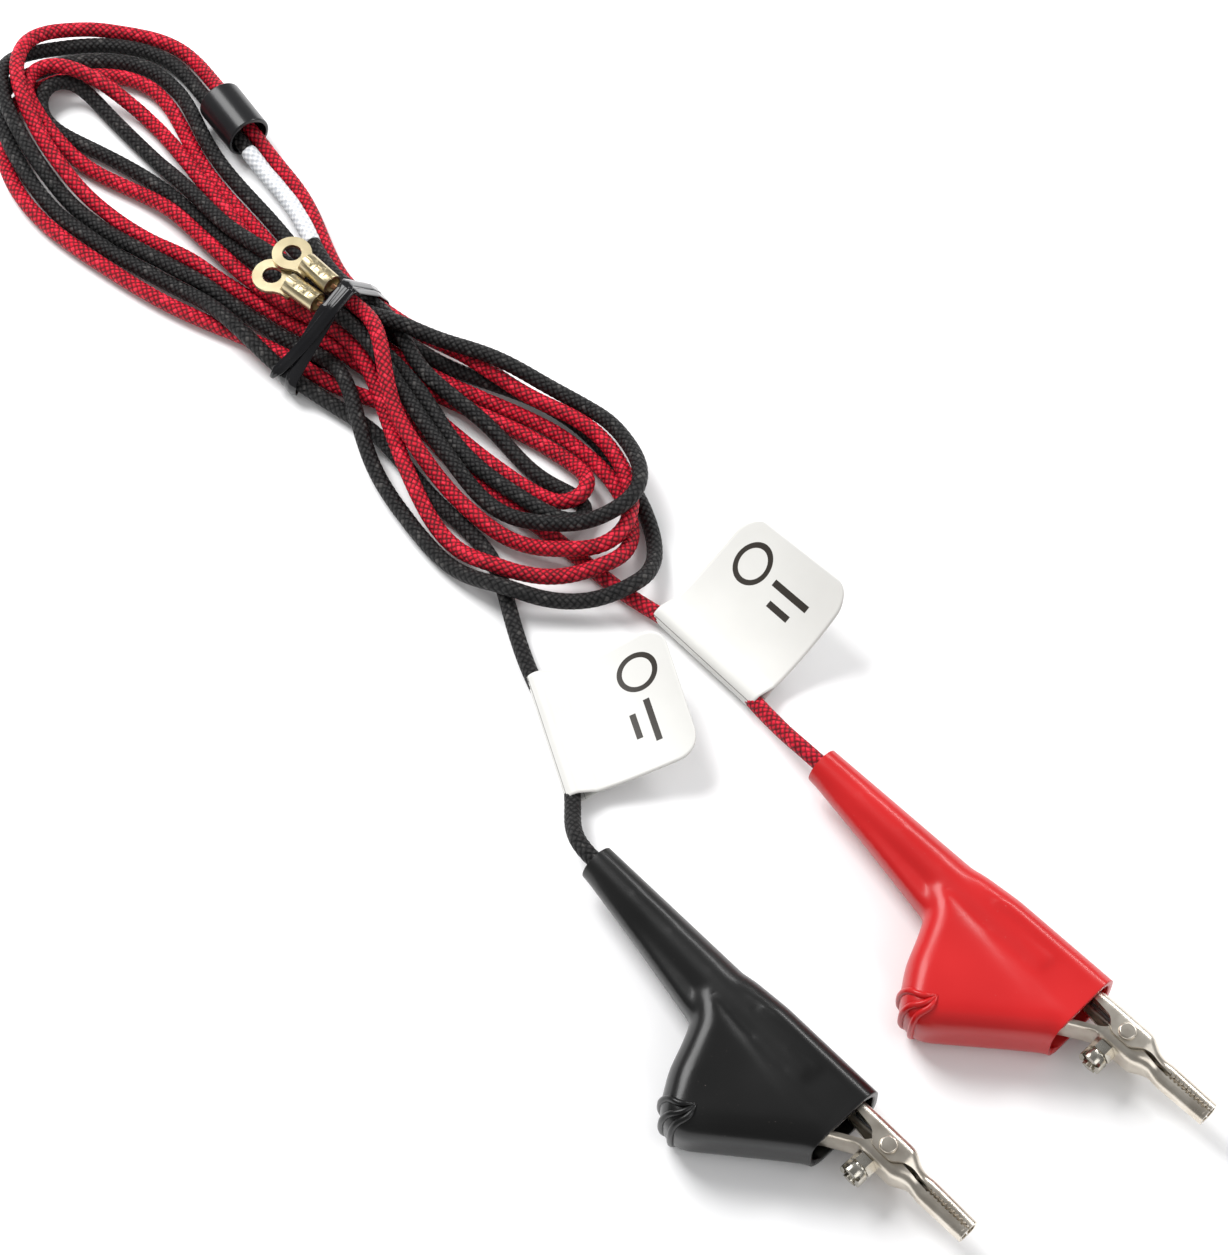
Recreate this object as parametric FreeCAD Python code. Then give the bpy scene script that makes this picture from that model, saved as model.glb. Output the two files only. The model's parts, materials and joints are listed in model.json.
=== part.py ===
import FreeCAD, Part
import math
import os

from FreeCAD import Vector

# Alligator clip lead: two braided cords, coiled and tied, each with an insulated
# alligator clip at one end and a ring terminal at the other.
#
# Row frame, millimetres.  The lead lies on a bench top at z = 0.  The origin is on the
# bench under the middle of the twist tie.  Some shapes use one of two local systems:
#   bundle   u runs along the coiled cords, from the left loops to the right loops,
#            and v runs across them;
#   clip     x runs to the tip of the jaws, y from the lower to the upper jaw, and z is
#            the pivot axis, with the origin at the pivot.

# ---- driving dimensions ---------------------------------------------------------
CORD_OD = 3.1              # textile braid
BRAID_WALL = 0.4
INSULATION_OD = 1.8
INSULATION_WALL = 0.2
CONDUCTOR_OD = 0.9
CORD_PITCH = 3.4           # centre distance of two cords that touch
BUNDLE_ANGLE = -37.4       # heading of the bundle's u axis

CLIP_MID_HEIGHT = 6.25     # height of a clip's middle plane above the bench
BOOT_THICKNESS = 12.5
BOOT_LENGTH = 66.5
BOOT_NECK_R = 3.6
BOOT_WALL = 1.25
BOOT_EDGE_R = 2.4
BOOT_END_X = -74.5         # cord end of the boot, in clip coordinates
BOOT_AXIS_Y = 1.8          # the cord enters the boot at this y
SHEET = 0.7                # steel of the jaws
PIVOT_R = 1.0
RUNNING_GAP = 0.05
TIGHT_GAP = 0.02           # round a fixed screw, rivet or tail
JAW_HALF_HEIGHT = 3.3
TIP_X = 19.2
TOOTH_PITCH = 0.9

RING_OD = 8.0
RING_HOLE_R = 1.95
RING_SHEET = 0.8
BARREL_OD = 4.4
BARREL_ID = 3.4
BARREL_LENGTH = 7.6
TERMINAL_LENGTH = 16.4

COLLAR_OD = 9.6
COLLAR_ID = 8.2
COLLAR_LENGTH = 12.0
COLLAR_EDGE_R = 0.4
MARKER_OD = 3.62
MARKER_ID = 3.32
LABEL_OD = 4.3
LABEL_ID = 3.6
LABEL_LENGTH = 26.0
LABEL_HEIGHT = 2.2          # of the cord inside its label
FLAG_REACH = 23.0
FLAG_SHEET = 0.4
TIE_SHEET = 0.5
TIE_WIDTH = 3.6
TIE_GAP = 0.42             # between the tie's first turn and the cords
TIE_CROSSED_WIDTH = 3.0    # the second turn is twisted, so it looks narrower
TIE_CROSSED_GAP = 0.55
BUNDLE_HALF_WIDTH = 16.0   # nothing but the bundle is this near to the tie
TIE_LIFT = 0.95            # the cords lie on the tie where it passes under them
TIE_YAW = 9.0
MARKER_START = 2.0         # from the collar's end
MARKER_LENGTH = 29.0
FLAG_CORNER_R = 4.5
FLAG_LIFT = {"black": 7.0, "red": 11.0}
FLAG_CURL = ((0.0, 0.0), (0.35, 0.12), (0.7, 0.45), (1.0, 1.0))   # shares of reach and lift
TOOTH_LOW = 0.12
TOOTH_HIGH = 0.55
HANDLE_END_X = -38.0
SCREW_X = -29.0
CONDUCTOR_END_X = -32.5
CONDUCTOR_Y = 1.3
SCREW_R = 1.0
POST_X = -1.5
POST_HEX_AF = 4.0
POST_TAIL_R = 0.8
SPRING_WIRE = 0.6
SPRING_COIL_R = 1.7
RIVET_HALF_LENGTH = 4.3
RIVET_HEAD_R = 1.6
RIVET_HEAD_HEIGHT = 0.6
POST_NUT_HEIGHT = 1.9
POST_LENGTH = 4.3
POST_BORE_R = 1.3
LAYERS = ("braid", "insulation")
LAYER_RADII = {
    "braid": (CORD_OD / 2, CORD_OD / 2 - BRAID_WALL),
    "insulation": (INSULATION_OD / 2, INSULATION_OD / 2 - INSULATION_WALL),
}
CLIP_STRIP = {"braid": 9.0, "insulation": 6.5}        # bared lengths of the cord
TERMINAL_STRIP = {"braid": 2.2, "insulation": 1.0}
LEVEL_NODES = 5            # nodes over which a cord rises to its terminal

# Each clip: pivot position and heading of its x axis.
CLIPS = {
    "black": {"pivot": (102.2, -173.4), "heading": -46.6},
    "red": {"pivot": (144.6, -152.6), "heading": -45.4},
}

# ---- cord routing, in bundle coordinates ------------------------------------------
# Each cord crosses the tie seven times.  Even passes run left, odd passes run right.
# The lane is the cord's v in the tie, and the order says which cord lies on top.
LANES = {
    "black": (-12.9, 7.5, -6.1, 9.2, 2.4, 5.8, 0.7),
    "red": (-9.5, 4.1, -1.0, 0.7, -2.7, 10.9, 4.1),
}
ORDER_AT_TIE = {
    "black": (0.0, 1.0, 2.0, 3.4, 3.2, 3.6, 6.0),
    "red": (-0.5, 0.9, 3.3, 1.9, 2.1, 1.5, 6.6),
}
ORDER_AT_TIP = {
    "black": (0.5, 1.5, 2.5, 3.4, 4.3, 5.5),
    "red": (0.2, 1.7, 4.5, 3.7, 5.2, 5.1),
}
# Loops of each cord in the order it makes them: left, right, left, right, left, right.
# A loop is v at three stations on the way out, the tip (u, v), and v at the same
# stations on the way back.
LEFT_STATIONS = (-28.0, -52.0, -76.0)
RIGHT_STATIONS = (20.0, 40.0, 58.0)
LOOPS = {
    "black": (
        ((-10.0, -11.4, -8.2), (-96.0, 8.0), (29.5, 20.7, 13.8)),
        ((8.0, 12.8, 11.8), (83.5, -8.0), (-27.6, -25.0, -16.0)),
        ((-6.6, -8.0, -4.8), (-99.0, 12.0), (33.6, 26.0, 19.5)),
        ((2.9, 1.0, -0.8), (66.0, -3.5), (-8.2, -7.6, -0.5)),
        ((3.6, 7.2, 5.6), (-89.5, 11.0), (15.2, 10.4, 5.3)),
        ((9.7, 14.5, 15.2), (72.5, 3.5), (-12.2, -11.0, -3.9)),
    ),
    "red": (
        ((-13.4, -14.8, -11.6), (-92.5, 5.0), (25.6, 17.4, 10.4)),
        ((4.6, 8.0, 8.2), (77.0, -5.0), (-24.0, -21.2, -9.0)),
        ((0.2, 3.8, 2.2), (-93.5, 11.0), (19.2, 14.4, 7.0)),
        ((1.2, 4.4, 4.6), (63.5, -0.5), (-4.8, -4.2, -2.2)),
        ((-3.2, -4.6, -1.4), (-98.5, 18.0), (37.4, 30.0, 23.0)),
        ((11.4, 11.1, 11.8), (74.5, -4.0), (-16.4, -15.0, -7.3)),
    ),
}
# The tails, from the boot to the tie, in bundle coordinates.
TAIL_GUIDES = {
    "black": ((66.0, -28.0), (56.0, -21.0), (40.0, -17.8), (20.0, -12.6)),
    "red": ((84.0, -12.0), (70.0, -11.0), (58.0, -10.0), (40.0, -9.3), (20.0, -5.6)),
}
# Where each flag label's wrap starts and ends on its tail, in the row frame.
LABEL_SPANS = {
    "black": ((47.9, -103.8), (40.1, -77.6)),
    "red": ((82.1, -83.4), (63.2, -63.3)),
}
COLLAR_ENDS = ((-58.5, 30.8), (-44.5, 26.2))     # middle line of the collar's cords
COLLAR_CORD_HEIGHT = 4.0
STRAIGHT_AT_TIE = 4.0
TIE_REACH = 4.0             # the tie encloses what the cords do this far to each side
TERMINAL_END = {"black": (-3.6, -0.6), "red": (-3.4, 3.8)}
TERMINAL_HEADING = {"black": 178.0, "red": 171.0}
RING_CLEARANCE = 0.55

# ---- numbers of the draping ---------------------------------------------------------
NODE_STEP = 1.5
CURVE_STEP = 3.0
SMOOTH_PASSES = 6
NARROW_LOOP = 6.0          # half width below which the end of a loop needs shoulders
SHOULDER_BACK = 0.4
SHOULDER_OUT = 0.8
SAG_RADIUS = 30.0
CREST_RADIUS = 9.0
CREST_STEPS = 4
DRAPE_ROUNDS = 160
RING_STEP_MAX = 4.0         # spacing of the rings that a swept tube passes through
RING_STEP_MIN = 0.6
RING_TURN = 0.35            # angle in radians between two rings, where the step allows it
LOOK_AHEAD = 3              # millimetres ahead in which a bend already shortens the step

Z_AXIS = Vector(0, 0, 1)
EPS = 0.01
CUT_REACH = 60.0           # half length of cutting bodies that must pass through a piece
CLIP_REACH = 10.0          # the same across a clip


# ---- helpers ------------------------------------------------------------------------
def export(name, shape):
    """Write one node, after checking that its solids are sound."""
    shape = shape.removeSplitter() if len(shape.Solids) == 1 else shape
    if not shape.isValid() or not shape.Solids:
        raise RuntimeError(name + " is not a valid solid")
    shape.exportStep("parts/" + name + ".step")


def fuse_all(shapes):
    """Union of a list of shapes."""
    result = shapes[0]
    for shape in shapes[1:]:
        result = result.fuse(shape)
    return result


def prism_z(points, z_low, z_high):
    """Straight-sided plate in the xy plane, from z_low to z_high."""
    corners = [Vector(x, y, z_low) for x, y in points]
    wire = Part.makePolygon(corners + corners[:1])
    return Part.Face(wire).extrude(Vector(0, 0, z_high - z_low))


def prism_y(points, y_low, y_high):
    """Straight-sided plate in the xz plane, from y_low to y_high."""
    corners = [Vector(x, y_low, z) for x, z in points]
    wire = Part.makePolygon(corners + corners[:1])
    return Part.Face(wire).extrude(Vector(0, y_high - y_low, 0))


def rod(radius, start, end):
    """Round rod between two points."""
    direction = end - start
    return Part.makeCylinder(radius, direction.Length, start, direction)


def curve_through(points):
    """Smooth curve through the points."""
    curve = Part.BSplineCurve()
    curve.interpolate(points)
    return curve


def ring_stops(curve):
    """Distances along a curve where a swept tube gets a ring: closer where it bends."""
    total = curve.length()
    stops = [0.0]
    while stops[-1] < total - EPS:
        bend = EPS
        for ahead in range(LOOK_AHEAD + 1):
            spot = min(stops[-1] + ahead, total)
            parameter = curve.parameterAtDistance(spot, curve.FirstParameter)
            bend = max(bend, curve.curvature(parameter))
        step = min(RING_STEP_MAX, max(RING_STEP_MIN, RING_TURN / bend))
        stops.append(min(stops[-1] + step, total))
    if len(stops) > 2 and stops[-1] - stops[-2] < RING_STEP_MIN / 2:
        stops.pop(-2)
    return stops


def stops_between(stops, start, end):
    """Ring distances for one stretch of a cord: its two ends and the cord's rings between."""
    margin = RING_STEP_MIN / 2
    inside = [stop for stop in stops if start + margin < stop < end - margin]
    return [start] + inside + [end]


def ring_frames(curve, stops):
    """Placements along a curve, z forward, turning about it as little as possible."""
    across = None
    frames = []
    for stop in stops:
        parameter = curve.parameterAtDistance(stop, curve.FirstParameter)
        forward = curve.tangent(parameter)[0]
        if across is None:
            across = forward.cross(Z_AXIS) if abs(forward.z) < 0.9 else Vector(1, 0, 0)
        across = (across - forward * across.dot(forward)).normalize()
        turn = FreeCAD.Rotation(across, forward.cross(across), forward, "ZXY")
        frames.append(FreeCAD.Placement(curve.value(parameter), turn))
    return frames


def ring_wires(frames, radius):
    """Circles at the placements, as wires."""
    wires = []
    for frame in frames:
        edge = Part.makeCircle(radius)
        edge.Placement = frame
        wires.append(Part.Wire([edge]))
    return wires


def sweep_tube(curve, stops, radius, inner_radius=None):
    """Round rod, or a tube with the given inner radius, through rings along a curve."""
    frames = ring_frames(curve, stops)
    outer = ring_wires(frames, radius)
    if inner_radius is None:
        return Part.makeLoft(outer, True, True)
    inner = ring_wires(frames, inner_radius)
    faces = Part.makeLoft(outer, False, True).Faces + Part.makeLoft(inner, False, True).Faces
    for end in (0, -1):
        faces.append(Part.Face(outer[end]).cut(Part.Face(inner[end])).Faces[0])
    skin = Part.makeShell(faces)
    skin.sewShape()
    body = Part.makeSolid(skin.Shells[0])
    if body.Volume < 0:
        body.reverse()
    return body


def bundle_point(u, v, z=0.0):
    """Row frame position of a point given in bundle coordinates."""
    angle = math.radians(BUNDLE_ANGLE)
    x = u * math.cos(angle) - v * math.sin(angle)
    y = u * math.sin(angle) + v * math.cos(angle)
    return Vector(x, y, z)


def clip_placement(colour):
    """Placement that takes clip coordinates to the row frame."""
    clip = CLIPS[colour]
    x, y = clip["pivot"]
    rotation = FreeCAD.Rotation(Z_AXIS, clip["heading"])
    return FreeCAD.Placement(Vector(x, y, CLIP_MID_HEIGHT), rotation)


def to_row(shape, placement):
    """Copy of a shape, moved by a placement."""
    moved = shape.copy()
    moved.Placement = placement.multiply(moved.Placement)
    return moved


# ---- cord routes ----------------------------------------------------------------------
def collar_point(end, side):
    """Plan position of a cord at one end of the collar: side -1 is black, +1 is red."""
    first = bundle_point(*COLLAR_ENDS[0])
    last = bundle_point(*COLLAR_ENDS[1])
    along = (last - first).normalize()
    across = Vector(-along.y, along.x, 0)
    return (first if end == 0 else last) + across * (side * CORD_PITCH / 2)


def clip_point(colour, x, y):
    """A point on the cord inside the boot, at clip coordinate x."""
    return clip_placement(colour).multVec(Vector(x, y, 0))


def loop_end(tip, v_out, v_back):
    """Guide points at the end of a loop: a narrow loop gets a shoulder on each side."""
    u, v = tip
    half_width = (v_back - v_out) / 2
    if abs(half_width) > NARROW_LOOP:
        return [tip]
    toward_tie = -1 if u > 0 else 1
    shoulder_u = u + toward_tie * abs(half_width) * SHOULDER_BACK
    reach = half_width * SHOULDER_OUT
    return [(shoulder_u, v - reach), tip, (shoulder_u, v + reach)]


def route_guides(colour):
    """Guide points of one cord as (point, order, fixed height or None), clip end first."""
    lanes = LANES[colour]
    order = ORDER_AT_TIE[colour]
    tips = ORDER_AT_TIP[colour]
    guides = []
    in_boot = [(CONDUCTOR_END_X, CONDUCTOR_Y)]
    in_boot += [(BOOT_END_X + ahead, BOOT_AXIS_Y) for ahead in (20.0, 0.0, -5.0)]
    for x, y in in_boot:
        guides.append((clip_point(colour, x, y), order[0], CLIP_MID_HEIGHT))
    for x, y in LABEL_SPANS[colour]:
        guides.append((Vector(x, y, 0), order[0], LABEL_HEIGHT))
    for u, v in TAIL_GUIDES[colour]:
        guides.append((bundle_point(u, v), order[0], None))
    for index, (outward, tip, back) in enumerate(LOOPS[colour]):
        left = index % 2 == 0
        stations = LEFT_STATIONS if left else RIGHT_STATIONS
        near, far = (1, -1) if left else (-1, 1)
        start, middle, end = order[index], tips[index], order[index + 1]
        for side in (near, far):
            guides.append((bundle_point(side * STRAIGHT_AT_TIE, lanes[index]), start, None))
        for share, u, v in zip((0.0, 0.5, 1.0), stations, outward):
            guides.append((bundle_point(u, v), start + share * (middle - start), None))
        for u, v in loop_end(tip, outward[-1], back[0]):
            guides.append((bundle_point(u, v), middle, None))
        in_collar = (colour, index) in (("black", 2), ("red", 4))
        for share, u, v in zip((0.0, 0.5, 1.0), reversed(stations), back):
            level = middle + share * (end - middle)
            if in_collar and u == LEFT_STATIONS[1]:
                side = -1 if colour == "black" else 1
                for collar_end, level in ((0, middle), (1, end)):
                    guides.append((collar_point(collar_end, side), level, COLLAR_CORD_HEIGHT))
            else:
                guides.append((bundle_point(u, v), level, None))
    last = len(LOOPS[colour])
    guides.append((bundle_point(STRAIGHT_AT_TIE, lanes[last]), order[last], None))
    guides.append((bundle_point(0, lanes[last]), order[last], None))
    guides.append((bundle_point(*TERMINAL_END[colour]), order[last], None))
    return guides


def route_nodes(colour):
    """Evenly spaced nodes of a cord: plan position, order, and fixed height or None."""
    guides = route_guides(colour)
    curve = curve_through([point for point, _, _ in guides_flat(guides)])
    marks = curve.getKnots()
    count = int(curve.length() / NODE_STEP)
    nodes = []
    segment = 0
    for index in range(count + 1):
        parameter = curve.parameterAtDistance(curve.length() * index / count)
        while segment < len(marks) - 2 and parameter > marks[segment + 1]:
            segment += 1
        span = marks[segment + 1] - marks[segment]
        share = (parameter - marks[segment]) / span
        order = guides[segment][1] * (1 - share) + guides[segment + 1][1] * share
        heights = (guides[segment][2], guides[segment + 1][2])
        fixed = None if None in heights else heights[0] * (1 - share) + heights[1] * share
        nodes.append({"at": curve.value(parameter), "order": order, "fixed": fixed})
    for _ in range(SMOOTH_PASSES):
        spots = [node["at"] for node in nodes]
        for before, node, at, after in zip(spots, nodes[1:-1], spots[1:], spots[2:]):
            node["at"] = (before + after) * 0.25 + at * 0.5
    return nodes


def guides_flat(guides):
    """The same guides with every point on the plan."""
    return [(Vector(point.x, point.y, 0), order, fixed) for point, order, fixed in guides]


def floor_height(point):
    """Lowest cord centre at a plan position: the tie lifts the cords a little."""
    angle = math.radians(BUNDLE_ANGLE)
    u = point.x * math.cos(angle) + point.y * math.sin(angle)
    v = -point.x * math.sin(angle) + point.y * math.cos(angle)
    near_tie = math.exp(-(u / 6.0) ** 2) if abs(v) < BUNDLE_HALF_WIDTH else 0.0
    return CORD_PITCH / 2 + TIE_LIFT * near_tie


def rest_on_others(nodes):
    """For each node, the nodes below it that it may touch, with the height they add."""
    cells = {}
    for index, node in enumerate(nodes):
        key = (int(node["at"].x // CORD_PITCH), int(node["at"].y // CORD_PITCH))
        cells.setdefault(key, []).append(index)
    supports = []
    for index, node in enumerate(nodes):
        column = int(node["at"].x // CORD_PITCH)
        row = int(node["at"].y // CORD_PITCH)
        below = []
        for dx in (-1, 0, 1):
            for dy in (-1, 0, 1):
                for other in cells.get((column + dx, row + dy), ()):
                    if nodes[other]["order"] >= node["order"]:
                        continue
                    same_cord = nodes[other]["cord"] == node["cord"]
                    if same_cord and abs(other - index) < 8:
                        continue
                    gap = (nodes[other]["at"] - node["at"]).Length
                    if gap < CORD_PITCH:
                        rise = math.sqrt(CORD_PITCH ** 2 - gap ** 2)
                        below.append((other, rise))
        supports.append(below)
    return supports


def lift_chain(chain, crest, sag):
    """Raise a cord's nodes to their contacts, with rounded crests and gentle sags."""
    last = len(chain) - 1
    for index, node in enumerate(chain):
        if node["fixed"]:
            continue
        for step, drop in enumerate(crest):
            for other in (max(index - step, 0), min(index + step, last)):
                node["z"] = max(node["z"], chain[other]["contact"] - drop)
        if 0 < index < last:
            middle = (chain[index - 1]["z"] + chain[index + 1]["z"]) / 2
            node["z"] = max(node["z"], middle - sag)


def drape(cords):
    """Lay the cords on the bench and on each other, and set each node's height."""
    nodes = []
    for name, chain in cords.items():
        for node in chain:
            node["cord"] = name
            node["floor"] = floor_height(node["at"])
            node["z"] = node["fixed"] or node["floor"]
            nodes.append(node)
    supports = rest_on_others(nodes)
    sag = NODE_STEP ** 2 / (2 * SAG_RADIUS)
    crest = [(step * NODE_STEP) ** 2 / (2 * CREST_RADIUS) for step in range(CREST_STEPS + 1)]
    for _ in range(DRAPE_ROUNDS):
        for node, below in zip(nodes, supports):
            node["contact"] = node["floor"]
            for other, rise in below:
                node["contact"] = max(node["contact"], nodes[other]["z"] + rise)
        for chain in cords.values():
            lift_chain(chain, crest, sag)
    return cords


def cord_curve(chain):
    """Smooth centre line through a draped cord's nodes."""
    stride = int(round(CURVE_STEP / NODE_STEP))
    count = max(2, int(round((len(chain) - 1) / stride)))
    points = []
    for index in range(count + 1):
        node = chain[int(round(index * (len(chain) - 1) / count))]
        points.append(Vector(node["at"].x, node["at"].y, node["z"]))
    return curve_through(points)


def nearest_node(chain, x, y):
    """The node of a draped cord that is nearest to a plan position."""
    spot = Vector(x, y, 0)
    return min(chain, key=lambda node: (node["at"] - spot).Length)


def make_cord(colour, curve, stops):
    """Braid, rubber insulation and conductor of one cord, with their rings in line."""
    total = curve.length()
    strips = [(CLIP_STRIP[layer], total - TERMINAL_STRIP[layer]) for layer in LAYERS]
    for layer, (start, end) in zip(LAYERS, strips):
        outer_r, inner_r = LAYER_RADII[layer]
        tube = sweep_tube(curve, stops_between(stops, start, end), outer_r, inner_r)
        export(colour + "_cord_" + layer, tube)
    export(colour + "_cord_conductor", sweep_tube(curve, stops, CONDUCTOR_OD / 2))


# ---- things that sit on the cords -------------------------------------------------------
def make_collar():
    """Loose strain relief tube round one black and one red strand."""
    first = bundle_point(*COLLAR_ENDS[0], COLLAR_OD / 2 + EPS)
    last = bundle_point(*COLLAR_ENDS[1], COLLAR_OD / 2 + EPS)
    along = (last - first).normalize()
    middle = (first + last) / 2
    start = middle - along * (COLLAR_LENGTH / 2)
    end = middle + along * (COLLAR_LENGTH / 2)
    body = rod(COLLAR_OD / 2, start, end)
    edges = [edge for edge in body.Edges if isinstance(edge.Curve, Part.Circle)]
    body = body.makeFillet(COLLAR_EDGE_R, edges)
    export("strain_relief_collar", body.cut(rod(COLLAR_ID / 2, start - along, end + along)))


def make_marker(curve, stops, chain):
    """Heat-shrink marker sleeve on the black strand beyond the collar."""
    joined = collar_point(1, -1)
    start_node = nearest_node(chain, joined.x, joined.y)
    start = MARKER_START + curve.length() * chain.index(start_node) / (len(chain) - 1)
    spots = stops_between(stops, start, start + MARKER_LENGTH)
    export("white_marker_sleeve", sweep_tube(curve, spots, MARKER_OD / 2, MARKER_ID / 2))


def terminal_base(colour, height):
    """Placement of a ring terminal: x from the barrel's mouth to the ring."""
    mouth = bundle_point(*TERMINAL_END[colour], height)
    heading = BUNDLE_ANGLE + TERMINAL_HEADING[colour]
    return FreeCAD.Placement(mouth, FreeCAD.Rotation(Z_AXIS, heading))


def make_terminal(colour, placement):
    """Crimp ring terminal; its local z = 0 is the barrel's axis."""
    ring_x = TERMINAL_LENGTH - RING_OD / 2
    low = -BARREL_OD / 2
    barrel = rod(BARREL_OD / 2, Vector(0, 0, 0), Vector(BARREL_LENGTH, 0, 0))
    ring = Part.makeCylinder(RING_OD / 2, RING_SHEET, Vector(ring_x, 0, low))
    tongue_outline = [
        (BARREL_LENGTH - 1.5, -BARREL_OD / 2),
        (BARREL_LENGTH + 0.5, -BARREL_OD / 2),
        (ring_x - 1.0, -RING_OD / 2 + 0.5),
        (ring_x - 1.0, RING_OD / 2 - 0.5),
        (BARREL_LENGTH + 0.5, BARREL_OD / 2),
        (BARREL_LENGTH - 1.5, BARREL_OD / 2),
    ]
    tongue = prism_z(tongue_outline, low, low + RING_SHEET)
    ramp_profile = [
        Vector(BARREL_LENGTH - 1.0, 0, low),
        Vector(BARREL_LENGTH + 1.6, 0, low),
        Vector(BARREL_LENGTH, 0, BARREL_OD / 2 - 0.6),
        Vector(BARREL_LENGTH - 1.0, 0, BARREL_OD / 2 - 0.6),
    ]
    ramp_face = Part.Face(Part.makePolygon(ramp_profile + ramp_profile[:1]))
    ramp = ramp_face.extrude(Vector(0, BARREL_OD * 0.7, 0))
    ramp.translate(Vector(0, -BARREL_OD * 0.35, 0))
    bore = rod(BARREL_ID / 2, Vector(-1, 0, 0), Vector(BARREL_LENGTH - 0.7, 0, 0))
    hole = Part.makeCylinder(RING_HOLE_R, 4, Vector(ring_x, 0, low - 2))
    body = fuse_all([barrel, ring, tongue, ramp]).cut(bore).cut(hole)
    for x in (BARREL_LENGTH * 0.3, BARREL_LENGTH * 0.65):
        dent = rod(1.2, Vector(x, -3, BARREL_OD / 2 + 0.85), Vector(x, 3, BARREL_OD / 2 + 0.85))
        body = body.cut(dent)
    seam = Part.makeBox(BARREL_LENGTH, 0.25, 0.3, Vector(0, -0.125, BARREL_OD / 2 - 0.25))
    export(colour + "_ring_terminal", to_row(body.cut(seam), placement))


def make_flag_label(colour, curve, stops, chain):
    """Wrap-round label: a sleeve on the cord with a curled flag on one side."""
    start, end = LABEL_SPANS[colour]
    first = Vector(start[0], start[1], LABEL_HEIGHT)
    last = Vector(end[0], end[1], LABEL_HEIGHT)
    middle = (first + last) / 2
    heading = math.degrees(math.atan2(last.y - first.y, last.x - first.x))
    placement = FreeCAD.Placement(middle, FreeCAD.Rotation(Z_AXIS, heading))
    centre_node = chain.index(nearest_node(chain, middle.x, middle.y))
    centre_length = curve.length() * centre_node / (len(chain) - 1)
    half = LABEL_LENGTH / 2
    wrapped = stops_between(stops, centre_length - half, centre_length + half)
    hollow = stops_between(stops, centre_length - half - 1, centre_length + half + 1)
    lift = FLAG_LIFT[colour]
    reach = LABEL_OD / 2 + FLAG_REACH
    lower = [Vector(-half, -reach * out, lift * up) for out, up in FLAG_CURL]
    upper = [point + Vector(0, 0, FLAG_SHEET) for point in lower]
    edges = [curve_through(lower).toShape(), Part.makeLine(lower[-1], upper[-1])]
    edges += [curve_through(upper).toShape(), Part.makeLine(upper[0], lower[0])]
    flag = Part.Face(Part.Wire(edges)).extrude(Vector(LABEL_LENGTH, 0, 0))
    plan = Part.makeBox(LABEL_LENGTH, reach + 5, 60, Vector(-half, -reach, -10))
    corners = [edge for edge in plan.Edges if edge.Length > 50 and edge.CenterOfMass.y < 0.1 - reach]
    flag = flag.common(plan.makeFillet(FLAG_CORNER_R, corners))
    sleeve = sweep_tube(curve, wrapped, LABEL_OD / 2)
    bore = sweep_tube(curve, hollow, LABEL_ID / 2)
    body = sleeve.fuse(to_row(flag, placement)).cut(bore)
    export(colour + "_flag_label", body)


def convex_hull(points):
    """Convex hull of 2-D points, counter-clockwise."""
    points = sorted(set(points))
    halves = []
    for ordered in (points, points[::-1]):
        chain = []
        for point in ordered:
            while len(chain) > 1:
                (ax, ay), (bx, by) = chain[-2], chain[-1]
                turn = (bx - ax) * (point[1] - ay) - (by - ay) * (point[0] - ax)
                if turn > 0:
                    break
                chain.pop()
            chain.append(point)
        halves.append(chain[:-1])
    return halves[0] + halves[1]


def tie_band(cords, half_width, gap, yaw):
    """One turn of the tie: a band that follows the outline of the cords it binds."""
    angle = math.radians(BUNDLE_ANGLE)
    crossings = []
    for chain in cords.values():
        for node in chain:
            at = node["at"]
            u = at.x * math.cos(angle) + at.y * math.sin(angle)
            v = -at.x * math.sin(angle) + at.y * math.cos(angle)
            if abs(u) < TIE_REACH and abs(v) < BUNDLE_HALF_WIDTH:
                crossings.append((round(v, 1), round(node["z"], 1)))
    hull = [Vector(0, v, z) for v, z in convex_hull(crossings)]
    ring = Part.makePolygon(hull + hull[:1])
    inner = ring.makeOffset2D(CORD_OD / 2 + gap)
    outer = ring.makeOffset2D(CORD_OD / 2 + gap + TIE_SHEET)
    section = Part.Face(outer).cut(Part.Face(inner))
    band = section.extrude(Vector(2 * half_width, 0, 0))
    band.translate(Vector(-half_width, 0, 0))
    band.rotate(Vector(0, 0, 0), Z_AXIS, yaw + BUNDLE_ANGLE)
    return band


def make_tie(cords):
    """Plastic twist tie: two turns round the cords, crossing at a small angle."""
    first = tie_band(cords, TIE_WIDTH / 2, TIE_GAP, 0)
    second = tie_band(cords, TIE_CROSSED_WIDTH / 2, TIE_CROSSED_GAP, TIE_YAW)
    above_bench = Part.makeBox(CUT_REACH, CUT_REACH, CUT_REACH)
    above_bench.translate(Vector(-CUT_REACH / 2, -CUT_REACH / 2, 0))
    export("twist_tie", first.fuse(second).common(above_bench))


# ---- alligator clip, in clip coordinates ---------------------------------------------------
def mirrored_outline(half):
    """Closed plan outline (x, z) from its points on the +z side."""
    return half + [(x, -z) for x, z in reversed(half)]


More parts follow.
